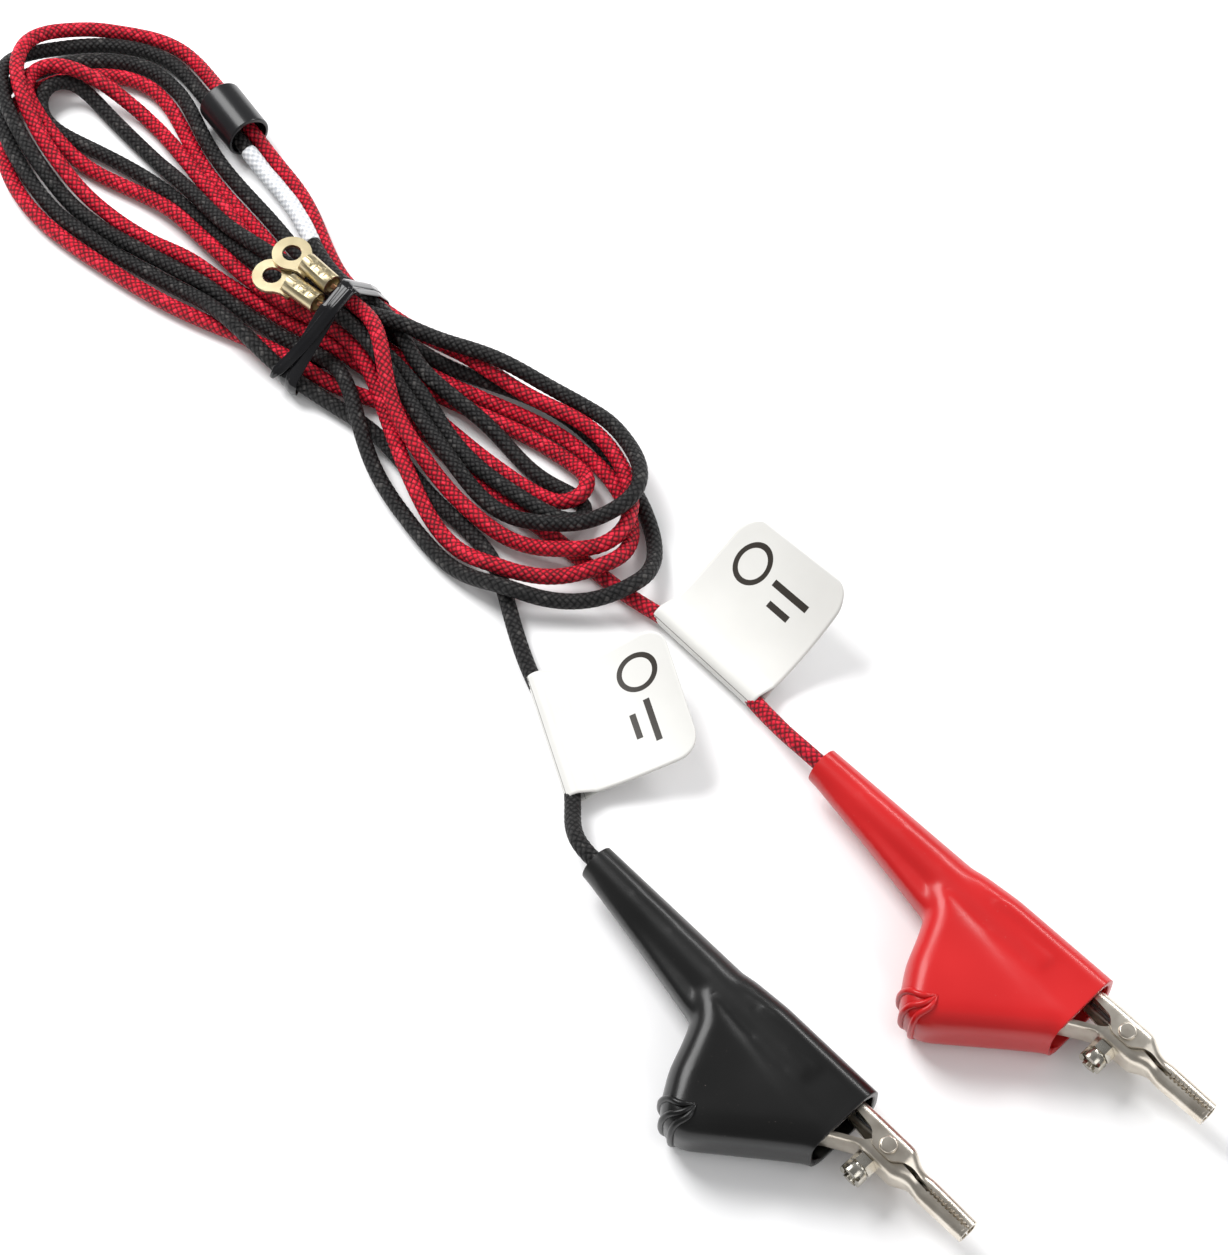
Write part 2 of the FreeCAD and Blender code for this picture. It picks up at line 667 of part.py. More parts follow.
def stamped_half(plan, side_view, spine_view):
    """Sheet-metal channel: walls that follow the plan outline, and a spine across them."""
    inner = [(x, z - SHEET) for x, z in plan]
    inner[0] = (inner[0][0] - 5, inner[0][1])
    inner[-1] = (inner[-1][0] + 5, inner[-1][1])
    solid_plan = prism_y(mirrored_outline(plan), -CUT_REACH, CUT_REACH)
    hollow_plan = prism_y(mirrored_outline(inner), -CUT_REACH, CUT_REACH)
    walls = solid_plan.cut(hollow_plan).common(prism_z(side_view, -CLIP_REACH, CLIP_REACH))
    spine = prism_z(spine_view, -CLIP_REACH, CLIP_REACH).common(solid_plan)
    return walls.fuse(spine)


def offset_line(points, distance):
    """Polyline moved sideways by a distance, with mitred corners; left is positive."""
    moved = []
    for index, (x, y) in enumerate(points):
        before = points[max(index - 1, 0)]
        after = points[min(index + 1, len(points) - 1)]
        normals = []
        for (ax, ay), (bx, by) in (((before[0], before[1]), (x, y)), ((x, y), (after[0], after[1]))):
            length = math.hypot(bx - ax, by - ay)
            if length > 0:
                normals.append((-(by - ay) / length, (bx - ax) / length))
        nx = sum(normal[0] for normal in normals)
        ny = sum(normal[1] for normal in normals)
        size = math.hypot(nx, ny)
        nx, ny = nx / size, ny / size
        spread = nx * normals[0][0] + ny * normals[0][1]
        moved.append((x + nx * distance / spread, y + ny * distance / spread))
    return moved


def strip_between(points, thickness):
    """Closed side view of a sheet whose outer line is given, thickened to its right."""
    return points + list(reversed(offset_line(points, -thickness)))


def teeth(side, x_start, x_end):
    """Saw-tooth edge from x_start to x_end, for the upper (+1) or lower (-1) jaw."""
    points = []
    count = int(round((x_end - x_start) / TOOTH_PITCH))
    phase = 0.0 if side > 0 else 0.5
    for index in range(count):
        x = x_start + (index + phase) * TOOTH_PITCH
        points.append((x, side * TOOTH_LOW))
        points.append((x + TOOTH_PITCH / 2, side * TOOTH_HIGH))
    return points


def make_fixed_jaw():
    """Upper half: jaw, ears for the rivet, and the long handle inside the boot."""
    plan = [
        (HANDLE_END_X, 2.2), (HANDLE_END_X + 6, 3.2), (-24, 3.6), (-6, 4.3), (4.2, 4.3),
        (7.4, 2.1), (9.0, 1.9), (TIP_X, 1.9),
    ]
    outer = [
        (HANDLE_END_X, 3.0), (-12, 3.1), (-5, JAW_HALF_HEIGHT), (3.6, JAW_HALF_HEIGHT),
        (6.6, 1.9), (9.0, 2.4), (TIP_X, 2.2),
    ]
    side_view = outer + [(TIP_X, TOOTH_LOW)] + list(reversed(teeth(1, 10.0, 18.9)))
    side_view += [(9.0, 0.35), (5.2, 0.35), (3.4, -0.6), (2.2, -2.0), (-2.2, -2.0)]
    side_view += [(-4.0, 0.2), (-12, 1.2), (HANDLE_END_X, 1.6)]
    body = stamped_half(plan, side_view, strip_between(outer, SHEET))
    rivet_hole = rod(PIVOT_R + TIGHT_GAP, Vector(0, 0, -CLIP_REACH), Vector(0, 0, CLIP_REACH))
    screw_hole = rod(SCREW_R + TIGHT_GAP, Vector(SCREW_X, 0, 0), Vector(SCREW_X, CLIP_REACH, 0))
    return body.cut(rivet_hole).cut(screw_hole)


def make_moving_jaw():
    """Lower half: jaw, ears nested inside the upper ones, and the bent lever."""
    plan = [
        (-40, 2.6), (-24, 3.2), (-6, 3.35), (4.0, 3.35), (7.4, 2.05), (9.0, 1.85), (TIP_X, 1.85),
    ]
    outer = [
        (TIP_X, -2.2), (9.0, -2.4), (6.6, -1.9), (3.6, -JAW_HALF_HEIGHT),
        (-4.4, -JAW_HALF_HEIGHT), (-10.0, -6.6), (-20.0, -15.6), (-26.0, -21.4), (-28.5, -22.0),
    ]
    side_view = outer[:]
    side_view += [(-28.0, -21.2), (-25.4, -20.0), (-19.4, -14.2), (-9.0, -5.0)]
    side_view += [(-3.2, -1.6), (-2.0, 2.0), (2.0, 2.0), (3.0, -0.4), (5.2, -0.4), (9.0, -0.4)]
    side_view += teeth(-1, 9.6, 18.6)
    side_view += [(TIP_X, -TOOTH_LOW)]
    body = stamped_half(plan, side_view, strip_between(outer, SHEET))
    rivet_hole = rod(PIVOT_R + RUNNING_GAP, Vector(0, 0, -CLIP_REACH), Vector(0, 0, CLIP_REACH))
    post_hole = rod(POST_TAIL_R + TIGHT_GAP, Vector(POST_X, -2, 0), Vector(POST_X, -5, 0))
    return body.cut(rivet_hole).cut(post_hole)


def make_rivet():
    """Pivot rivet with a domed head at each end."""
    end = Vector(0, 0, RIVET_HALF_LENGTH + EPS)
    shank = rod(PIVOT_R, end * -1, end)
    head = rod(RIVET_HEAD_R, end, end + Vector(0, 0, RIVET_HEAD_HEIGHT))
    rim = [edge for edge in head.Edges if edge.CenterOfMass.z > end.z + RIVET_HEAD_HEIGHT / 2]
    head = head.makeFillet(RIVET_HEAD_HEIGHT * 2 / 3, rim[:1])
    return fuse_all([shank, head, head.mirror(Vector(0, 0, 0), Z_AXIS)])


def make_jaw_spring():
    """Torsion spring: a coil round the rivet with one leg along each half."""
    coil_r = SPRING_COIL_R
    pitch = 0.85
    turns = 2.5
    steps = 30
    half_width = pitch * turns / 2
    points = [Vector(-x, coil_r + 0.01 * x, -half_width) for x in range(9, 0, -1)]
    for index in range(steps + 1):
        share = index / steps
        angle = math.radians(90) - 2 * math.pi * turns * share
        z = pitch * turns * share - half_width
        points.append(Vector(coil_r * math.cos(angle), coil_r * math.sin(angle), z))
    lower_leg = [(-1, -1.7), (-2, -1.7), (-3, -1.73), (-4, -1.9), (-5, -2.25), (-6, -2.8)]
    lower_leg += [(-7, -3.35), (-8, -3.95), (-9, -4.55)]
    points += [Vector(x, y, half_width) for x, y in lower_leg]
    curve = curve_through(points)
    return sweep_tube(curve, ring_stops(curve), SPRING_WIRE / 2)


def make_test_post():
    """Castellated brass post that takes a wire or a pin, riveted to the lower jaw."""
    base_y = -JAW_HALF_HEIGHT - EPS
    across = POST_HEX_AF / math.sqrt(3)
    hexagon = []
    for index in range(6):
        angle = math.radians(60 * index)
        hexagon.append((POST_X + across * math.cos(angle), across * math.sin(angle)))
    nut = prism_y(hexagon, base_y - POST_NUT_HEIGHT, base_y)
    groove = rod(1.6, Vector(POST_X, base_y - 1.8, 0), Vector(POST_X, base_y - 2.6, 0))
    crown = rod(2.3, Vector(POST_X, base_y - 2.4, 0), Vector(POST_X, base_y - POST_LENGTH, 0))
    tail = rod(POST_TAIL_R, Vector(POST_X, base_y + 0.9, 0), Vector(POST_X, base_y - 0.1, 0))
    body = fuse_all([nut, groove, crown, tail])
    body = body.cut(rod(POST_BORE_R, Vector(POST_X, base_y - 1.2, 0), Vector(POST_X, base_y - 5, 0)))
    for index in range(4):
        slot = Part.makeBox(0.7, 1.3, 6, Vector(-0.35, -0.65, 0))
        slot.rotate(Vector(0, 0, 0), Vector(0, 1, 0), 45 + 90 * index)
        slot.translate(Vector(POST_X, base_y - POST_LENGTH, 0))
        body = body.cut(slot)
    return body


def make_piercing_pins():
    """Cluster of sharp pins on a disc at the bottom of the test post's bore."""
    base_y = -JAW_HALF_HEIGHT - EPS - 1.2
    disc = rod(1.25, Vector(POST_X, base_y - EPS, 0), Vector(POST_X, base_y - 0.5, 0))
    pins = []
    for index in range(3):
        angle = math.radians(120 * index + 30)
        x = POST_X + 0.6 * math.cos(angle)
        z = 0.6 * math.sin(angle)
        pins.append(Part.makeCone(0.3, 0.06, 1.6, Vector(x, base_y - 0.45, z), Vector(0, -1, 0)))
    return fuse_all([disc] + pins)


def make_post_washer():
    """Washer inside the channel, over which the post's tail is peened."""
    top = -JAW_HALF_HEIGHT + SHEET + EPS
    washer = rod(1.5, Vector(POST_X, top, 0), Vector(POST_X, top + 0.25, 0))
    return washer.cut(rod(POST_TAIL_R + TIGHT_GAP, Vector(POST_X, -6, 0), Vector(POST_X, 0, 0)))


def make_terminal_screw():
    """Screw in the handle that clamps the cord's conductor."""
    head = rod(1.9, Vector(SCREW_X, 1.2, 0), Vector(SCREW_X, 2.25, 0))
    slot = Part.makeBox(5, 0.5, 0.5, Vector(SCREW_X - 2.5, 1.1, -0.25))
    shank = rod(SCREW_R, Vector(SCREW_X, 2.2, 0), Vector(SCREW_X, 3.9, 0))
    return head.cut(slot).fuse(shank)


def boot_outline(inset):
    """Side view of the boot in clip coordinates, inset by the wall where asked."""
    overrun = 3.0 if inset > 0 else 0.0
    mouth_x = BOOT_END_X + BOOT_LENGTH + overrun
    cord_end = BOOT_END_X - overrun
    top_y = BOOT_AXIS_Y + 4.0 - inset
    neck = BOOT_NECK_R - inset
    return [
        (cord_end, BOOT_AXIS_Y - neck), (cord_end, BOOT_AXIS_Y + neck),
        (BOOT_END_X + 30, top_y + 0.2), (mouth_x - 1.5, top_y + 0.3),
        (mouth_x, -9.7 + inset), (BOOT_END_X + 62.0 + inset, -13.6 + inset * 1.3),
        (BOOT_END_X + 49.5, -24.2 + inset * 1.4), (BOOT_END_X + 46.5 + inset * 0.2, -25.1 + inset * 1.1),
        (BOOT_END_X + 42.5 + inset * 0.8, -22.4 + inset * 0.3),
        (BOOT_END_X + 38.0 + inset, -16.6), (BOOT_END_X + 35.8 + inset, -12.0),
        (BOOT_END_X + 34.0 + inset, -7.6 + inset), (BOOT_END_X + 17.0, -4.6 + inset),
    ]


def boot_height_profile(inset):
    """Plan view of the boot (x, z): a slim round neck that widens to the full body."""
    body = BOOT_THICKNESS / 2 - inset
    neck = BOOT_NECK_R - inset
    return [
        (BOOT_END_X - 5, neck), (BOOT_END_X + 2, neck), (BOOT_END_X + 31, body),
        (BOOT_END_X + 80, body),
    ]


def make_boot():
    """Hollow flexible cover over the clip's handle and lever, open at the jaws."""
    half = BOOT_THICKNESS / 2
    outer = prism_z(boot_outline(0), -half, half)
    rims = []
    for edge in outer.Edges:
        on_a_side = abs(abs(edge.CenterOfMass.z) - half) < EPS
        at_mouth = edge.BoundBox.XMin > BOOT_END_X + BOOT_LENGTH - 1.6
        at_end = edge.BoundBox.XMax < BOOT_END_X + EPS
        if on_a_side and not at_mouth and not at_end:
            rims.append(edge)
    outer = outer.makeFillet(BOOT_EDGE_R, rims)
    outer = outer.common(prism_y(mirrored_outline(boot_height_profile(0)), -CUT_REACH, CUT_REACH))
    cavity = prism_z(boot_outline(BOOT_WALL), -CLIP_REACH, CLIP_REACH)
    hollow_plan = mirrored_outline(boot_height_profile(BOOT_WALL))
    cavity = cavity.common(prism_y(hollow_plan, -CUT_REACH, CUT_REACH))
    ribs = []
    for shift in (-2.6, 0.0, 2.6):
        centre = Vector(BOOT_END_X + 45.0 + shift * 0.9, -24.6 + abs(shift) * 0.75, 0)
        ribs.append(rod(0.8, centre + Vector(0, 0, -4.5), centre + Vector(0, 0, 4.5)))
    return fuse_all([outer] + ribs).cut(cavity)


def make_clip(colour):
    """All the pieces of one insulated alligator clip, in the row frame."""
    placement = clip_placement(colour)
    pieces = {
        "boot": make_boot(),
        "fixed_jaw": make_fixed_jaw(),
        "moving_jaw": make_moving_jaw(),
        "pivot_rivet": make_rivet(),
        "jaw_spring": make_jaw_spring(),
        "test_post": make_test_post(),
        "piercing_pins": make_piercing_pins(),
        "post_washer": make_post_washer(),
        "terminal_screw": make_terminal_screw(),
    }
    for name, shape in pieces.items():
        export(colour + "_" + name, to_row(shape, placement))


# ---- build -----------------------------------------------------------------------------------
def terminal_heights(cords):
    """Barrel axis heights that rest both terminals on the cords, the red one on top."""
    top = 0.0
    length = TERMINAL_LENGTH + RING_OD / 2
    for colour in cords:
        base = terminal_base(colour, 0)
        for chain in cords.values():
            for node in chain[:-4]:
                local = base.inverse().multVec(node["at"])
                if 0.5 < local.x < length and abs(local.y) < RING_OD / 2 + CORD_OD / 2:
                    top = max(top, node["z"] + CORD_OD / 2)
    low = top + BARREL_OD / 2 + RING_CLEARANCE
    return {"black": low, "red": low + RING_SHEET + RING_CLEARANCE}


def build():
    """Write every node of the lead."""
    os.makedirs("parts", exist_ok=True)
    cords = drape({colour: route_nodes(colour) for colour in ("black", "red")})
    heights = terminal_heights(cords)
    for colour, chain in cords.items():
        for index, node in enumerate(chain[-LEVEL_NODES:]):
            share = (index + 1) / LEVEL_NODES
            node["z"] += (heights[colour] - node["z"]) * share * share * (3 - 2 * share)
    curves = {colour: cord_curve(chain) for colour, chain in cords.items()}
    stops = {colour: ring_stops(curve) for colour, curve in curves.items()}
    for colour in ("black", "red"):
        make_cord(colour, curves[colour], stops[colour])
        make_terminal(colour, terminal_base(colour, heights[colour]))
        make_flag_label(colour, curves[colour], stops[colour], cords[colour])
        make_clip(colour)
    make_collar()
    make_marker(curves["black"], stops["black"], cords["black"])
    make_tie(cords)


build()
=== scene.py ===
import heapq
import json
import math

import bmesh
import bpy
import numpy as np
from mathutils import Matrix, Vector
from mathutils.bvhtree import BVHTree
from mathutils.kdtree import KDTree


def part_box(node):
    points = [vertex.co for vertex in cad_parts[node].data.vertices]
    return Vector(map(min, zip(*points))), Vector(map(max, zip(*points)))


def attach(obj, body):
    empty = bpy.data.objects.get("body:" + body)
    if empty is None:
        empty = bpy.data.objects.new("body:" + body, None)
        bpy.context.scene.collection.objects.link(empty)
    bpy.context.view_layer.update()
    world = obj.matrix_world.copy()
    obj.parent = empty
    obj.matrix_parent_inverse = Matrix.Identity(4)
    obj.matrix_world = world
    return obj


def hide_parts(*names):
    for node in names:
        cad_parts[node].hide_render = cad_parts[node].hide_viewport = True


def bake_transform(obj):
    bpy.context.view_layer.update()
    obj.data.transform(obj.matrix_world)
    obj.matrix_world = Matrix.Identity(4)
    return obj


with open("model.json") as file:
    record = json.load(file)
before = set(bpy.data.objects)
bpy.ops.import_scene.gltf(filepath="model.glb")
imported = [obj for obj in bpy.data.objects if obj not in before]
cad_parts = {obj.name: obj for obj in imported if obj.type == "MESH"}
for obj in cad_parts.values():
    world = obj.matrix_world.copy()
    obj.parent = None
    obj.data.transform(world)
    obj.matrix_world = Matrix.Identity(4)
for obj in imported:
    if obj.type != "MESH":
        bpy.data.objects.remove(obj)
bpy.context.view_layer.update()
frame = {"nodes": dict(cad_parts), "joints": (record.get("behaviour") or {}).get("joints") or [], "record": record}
NODES = frame["nodes"]
JOINTS = {joint["name"]: joint for joint in frame["joints"]}
COLOURS = ("black", "red")
MM = 0.001

# Shapes are in millimetres until add_mesh turns them into metres.
CORD_R = 1.55
BRAID_INNER_R = 1.15
BRAID_START = 9.0       # bared length at the clip, and at the terminal
BRAID_END = 2.2
STRANDS = 7.0           # braid carriers each way round the cord
BRAID_PITCH = 1.4       # length of one diamond of the braid
BRAID_RELIEF = 0.09
MARKER_R = 1.72
FILM = 0.22             # thickness of the labels
WRAP_R = 1.98           # of the film round the cord
CURL = {"black": 0.22, "red": -0.15}
FLAG_CORNER_R = 4.4
STEEL = 0.7             # thickness of the jaws
TOOTH = 0.9
BOOT_WALL = 1.25
TIE_WIDTH = 2.9
TIE_THICKNESS = 0.52
ROOM_LIGHT = 0.6        # even light from the room, and what glossy surfaces see of it
ROOM_GLOSS = 0.22


# ---- meshes ---------------------------------------------------------------------------
def add_mesh(name, points, faces, uvs=None):
    """Object from points in millimetres, quads or triangles, and a (u, v) per face corner."""
    mesh = bpy.data.meshes.new(name)
    points = np.asarray(points, float) * MM
    mesh.from_pydata(points.tolist(), [], [list(map(int, face)) for face in faces])
    if uvs is not None:
        layer = mesh.uv_layers.new(name="UVMap")
        layer.data.foreach_set("uv", np.asarray(uvs, np.float32).ravel())
    mesh.polygons.foreach_set("use_smooth", [True] * len(mesh.polygons))
    mesh.validate()
    mesh.update()
    obj = bpy.data.objects.new(name, mesh)
    bpy.context.scene.collection.objects.link(obj)
    return obj


def grid_faces(rows, columns, wrap):
    """Quads of a grid of points, row by row; wrap closes each row on itself."""
    across = columns if wrap else columns - 1
    row, column = np.meshgrid(np.arange(rows - 1), np.arange(across), indexing="ij")
    following = (column + 1) % columns
    quads = np.stack([
        row * columns + column, row * columns + following,
        (row + 1) * columns + following, (row + 1) * columns + column,
    ], axis=-1)
    return quads.reshape(-1, 4), row.ravel(), column.ravel()


def grid_uvs(row, column, u_of_column, v_of_row):
    """UVs for the quads that grid_faces gives, in the same order."""
    corners = [(row, column), (row, column + 1), (row + 1, column + 1), (row + 1, column)]
    return np.stack([np.stack([u_of_column[c], v_of_row[r]], -1) for r, c in corners], 1)


def smooth_line(points, passes):
    """Points of a line after repeated averaging with their neighbours."""
    points = points.copy()
    for _ in range(passes):
        points[1:-1] = points[1:-1] * 0.5 + (points[:-2] + points[2:]) * 0.25
    return points


def lengths_along(points):
    """Distance of each point of a line from its start."""
    return np.r_[0, np.cumsum(np.linalg.norm(np.diff(points, axis=0), axis=1))]


def resample(points, step):
    """Evenly spaced points along a line, and the distance of each from the start."""
    lengths = lengths_along(points)
    stops = np.linspace(0, lengths[-1], max(2, int(round(lengths[-1] / step)) + 1))
    return np.stack([np.interp(stops, lengths, points[:, k]) for k in range(3)], 1), stops


def frames_of(points):
    """Tangent and two cross directions at each point of a line, without needless twist."""
    tangents = np.gradient(points, axis=0)
    tangents /= np.linalg.norm(tangents, axis=1)[:, None]
    across = np.zeros_like(points)
    current = np.array([0, 0, 1.0])
    for index, tangent in enumerate(tangents):
        current = current - tangent * (current @ tangent)
        current = current / np.linalg.norm(current)
        across[index] = current
    return tangents, across, np.cross(tangents, across)


def tube_faces(rings, sides):
    """Faces of a closed tube: quads between its rings, then a cap at each end."""
    quads, _, _ = grid_faces(rings, sides, True)
    last = (rings - 1) * sides
    return quads.tolist() + [list(range(sides))[::-1], list(range(last, last + sides))]


def round_points(points, radius, sides):
    """Points of a tube along a line; radius is a number, or an array of rings by sides."""
    _, across, up = frames_of(points)
    angles = 2 * math.pi * np.arange(sides) / sides
    ring = across[:, None] * np.cos(angles)[None, :, None] + up[:, None] * np.sin(angles)[None, :, None]
    radius = np.broadcast_to(radius, (len(points), sides))
    return (points[:, None] + ring * radius[:, :, None]).reshape(-1, 3)


def swept(name, points, radius, sides):
    """Tube along a line, with u in turns round it and v in millimetres along it."""
    _, row, column = grid_faces(len(points), sides, True)
    uvs = grid_uvs(row, column, np.arange(sides + 1) / sides, lengths_along(points)).reshape(-1, 2)
    uvs = np.vstack([uvs, np.zeros((2 * sides, 2))])
    return add_mesh(name, round_points(points, radius, sides), tube_faces(len(points), sides), uvs)


# ---- where the cords run -------------------------------------------------------------------
def welded(node):
    """Vertices of a CAD node in millimetres with doubles merged, and its edges."""
    mesh = NODES[node].data
    points = np.empty(len(mesh.vertices) * 3)
    mesh.vertices.foreach_get("co", points)
    points = points.reshape(-1, 3) / MM
    edges = np.empty(len(mesh.edges) * 2, int)
    mesh.edges.foreach_get("vertices", edges)
    unique, index = np.unique(np.round(points, 3), axis=0, return_inverse=True)
    return unique, index.ravel()[edges].reshape(-1, 2)


def centred(line, skin):
    """The line moved to the middle of the braid's outer and inner surfaces."""
    tree = KDTree(len(line))
    for index, point in enumerate(line):
        tree.insert(point, index)
    tree.balance()
    total = np.zeros_like(line)
    count = np.zeros(len(line))
    for point in skin:
        _, index, gap = tree.find(point)
        if gap < 0.3:           # too near to tell a direction
            continue
        radius = CORD_R if gap > (CORD_R + BRAID_INNER_R) / 2 else BRAID_INNER_R
        total[index] += (point - line[index]) * (1 - radius / gap)
        count[index] += 1
    share = smooth_line(total, 3) / np.maximum(smooth_line(count, 3), 1)[:, None]
    return line + share * 1.6       # averaging round a ring halves the offset


def distances_over(points, edges, first):
    """Shortest way over the edges from one point to every other point."""
    lengths = np.linalg.norm(points[edges[:, 0]] - points[edges[:, 1]], axis=1)
    links = [[] for _ in points]
    for (a, b), length in zip(edges.tolist(), lengths.tolist()):
        links[a].append((b, length))
        links[b].append((a, length))
    reach = np.full(len(points), np.inf)
    reach[first] = 0
    queue = [(0.0, first)]
    while queue:
        distance, index = heapq.heappop(queue)
        if distance > reach[index]:
            continue
        for other, length in links[index]:
            if distance + length < reach[other]:
                reach[other] = distance + length
                heapq.heappush(queue, (distance + length, other))
    return reach


def centre_line(colour):
    """Centre line of a cord, from the clip to the terminal, from its conductor's surface."""
    points, edges = welded(colour + "_cord_conductor")
    low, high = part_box(colour + "_terminal_screw")
    start = np.array((low + high) / 2) / MM
    reach = distances_over(points, edges, int(np.argmin(np.linalg.norm(points - start, axis=1))))
    order = np.argsort(reach)
    order = order[np.isfinite(reach[order])]
    groups = []                 # points at about the same distance, whose middle is on the line
    group = [order[0]]
    for index in order[1:]:
        if reach[index] - reach[group[0]] > 1.0 and len(group) > 3:
            groups.append(group)
            group = []
        group.append(index)
    line = np.array([points[group].mean(axis=0) for group in groups])
    line, _ = resample(line, 1.0)
    line = smooth_line(line, 4)
    skin, _ = welded(colour + "_cord_braid")
    for _ in range(3):
        line, _ = resample(centred(line, skin), 1.0)
        line = smooth_line(line, 2)
    return line


LINES = {colour: centre_line(colour) for colour in COLOURS}


# ---- materials ---------------------------------------------------------------------------
class Shader:
    """A material's node tree, with short calls for arithmetic on its sockets."""

    def __init__(self, name):
        self.material = bpy.data.materials.new(name)
        self.material.use_nodes = True
        self.nodes = self.material.node_tree.nodes
        self.links = self.material.node_tree.links
        self.surface = self.nodes["Principled BSDF"]

    def put(self, value, socket):
        """Link a socket, or set a plain value."""
        if isinstance(value, bpy.types.NodeSocket):
            self.links.new(value, socket)
        else:
            socket.default_value = value

    def math(self, operation, a, b=0.0, c=0.0):
        node = self.nodes.new("ShaderNodeMath")
        node.operation = operation
        for value, socket in zip((a, b, c), node.inputs):
            self.put(value, socket)
        return node.outputs[0]

    def mix(self, share, a, b):
        node = self.nodes.new("ShaderNodeMix")
        node.data_type = "RGBA"
        self.put(share, node.inputs[0])
        self.put(a, node.inputs[6])
        self.put(b, node.inputs[7])
        return node.outputs[2]

    def span(self, value, low, high):
        """0 below low, 1 above high, and smooth between."""
        node = self.nodes.new("ShaderNodeMapRange")
        node.interpolation_type = "SMOOTHSTEP"
        for item, socket in zip((value, low, high, 0.0, 1.0), node.inputs):
            self.put(item, socket)
        return node.outputs[0]

    def uv(self):
        node = self.nodes.new("ShaderNodeUVMap")
        parts = self.nodes.new("ShaderNodeSeparateXYZ")
        self.links.new(node.outputs[0], parts.inputs[0])
        return parts.outputs[0], parts.outputs[1]

    def noise(self, scale, detail=2.0):
        node = self.nodes.new("ShaderNodeTexNoise")
        node.inputs["Scale"].default_value = scale
        node.inputs["Detail"].default_value = detail
        place = self.nodes.new("ShaderNodeTexCoord").outputs["Object"]
        self.links.new(place, node.inputs["Vector"])
        return node.outputs[0]

    def bump(self, height, distance, strength=1.0):
        node = self.nodes.new("ShaderNodeBump")
        node.inputs["Strength"].default_value = strength
        node.inputs["Distance"].default_value = distance
        self.links.new(height, node.inputs["Height"])
        self.links.new(node.outputs[0], self.surface.inputs["Normal"])

    def set(self, **values):
        for key, value in values.items():
            self.put(value, self.surface.inputs[key.replace("_", " ")])
        return self.material


def rgb(r, g, b):
    return (r, g, b, 1.0)


def braid_material(name, dark, light, fleck, fleck_share):
    """Textile braid: two sets of strands that pass over and under each other, with painted shade in the gaps
    between them.
    """
    s = Shader(name)
    u, v = s.uv()
    turn = s.math("MULTIPLY", u, STRANDS)
    run = s.math("DIVIDE", v, BRAID_PITCH)
    wander = s.math("MULTIPLY", s.math("SUBTRACT", s.noise(420.0, 2.0), 0.5), 0.3)
    first = s.math("ADD", s.math("ADD", turn, run), wander)
    second = s.math("ADD", s.math("SUBTRACT", turn, run), wander)
    cells = s.math("ADD", s.math("FLOOR", first), s.math("FLOOR", second))
    over = s.math("GREATER_THAN", s.math("MODULO", s.math("ABSOLUTE", cells), 2.0), 0.5)
    across_1 = s.math("SINE", s.math("MULTIPLY", s.math("FRACT", first), math.pi))
    across_2 = s.math("SINE", s.math("MULTIPLY", s.math("FRACT", second), math.pi))
    profile_1 = s.math("MULTIPLY", across_1, s.math("MULTIPLY_ADD", across_2, 0.55, 0.45))
    profile_2 = s.math("MULTIPLY", across_2, s.math("MULTIPLY_ADD", across_1, 0.55, 0.45))
    under = s.math("SUBTRACT", 1.0, over)
    height = s.math("ADD", s.math("MULTIPLY", profile_1, over), s.math("MULTIPLY", profile_2, under))
    fibre_1 = s.math("SINE", s.math("MULTIPLY", first, 2 * math.pi * 4))
    fibre_2 = s.math("SINE", s.math("MULTIPLY", second, 2 * math.pi * 4))
    fibre = s.math("ADD", s.math("MULTIPLY", fibre_1, over), s.math("MULTIPLY", fibre_2, under))
    relief = s.math("MULTIPLY_ADD", fibre, 0.06, height)
    spot = s.nodes.new("ShaderNodeCombineXYZ")
    s.links.new(s.math("FLOOR", first), spot.inputs[0])
    s.links.new(s.math("FLOOR", second), spot.inputs[1])
    chance = s.nodes.new("ShaderNodeTexWhiteNoise")
    s.links.new(spot.outputs[0], chance.inputs["Vector"])
    flecked = s.math("GREATER_THAN", chance.outputs["Value"], 1.0 - fleck_share)
    patch = s.noise(160.0, 3.0)
    worn = s.math("MULTIPLY_ADD", chance.outputs["Value"], 0.35, s.math("MULTIPLY", patch, 0.3))
    # Painted shade: tone is darker where the strand height is low, in the gaps between strands; the rest of tone
    # is random wear and patches.
    tone = s.span(s.math("ADD", worn, s.math("POWER", height, 1.4)), 0.3, 1.35)
    colour = s.mix(tone, dark, light)
    # The flecks fade with the same tone, so they also carry the painted shade in the gaps.
    colour = s.mix(s.math("MULTIPLY", flecked, tone), colour, fleck)
    s.bump(relief, 0.00022)
    return s.set(Base_Color=colour, Roughness=0.58, Specular_IOR_Level=0.35)


def vinyl_material(name, deep, bright, roughness):
    """Soft glossy vinyl with faint mould texture and a little dust."""
    s = Shader(name)
    broad = s.noise(45.0, 2.0)
    fine = s.noise(900.0, 2.0)
    specks = s.span(s.noise(2400.0, 1.0), 0.76, 0.82)
    dust = s.math("MULTIPLY", specks, s.span(s.noise(120.0, 1.0), 0.5, 0.7))
    colour = s.mix(s.span(broad, 0.35, 0.7), deep, bright)
    colour = s.mix(s.math("MULTIPLY", dust, 0.3), colour, rgb(0.6, 0.5, 0.46))
    s.bump(s.math("MULTIPLY_ADD", fine, 0.12, broad), 0.00012, 0.5)
    rough = s.math("MULTIPLY_ADD", broad, 0.14, roughness - 0.05)
    return s.set(Base_Color=colour, Roughness=rough, Coat_Weight=0.12, Coat_Roughness=0.12)


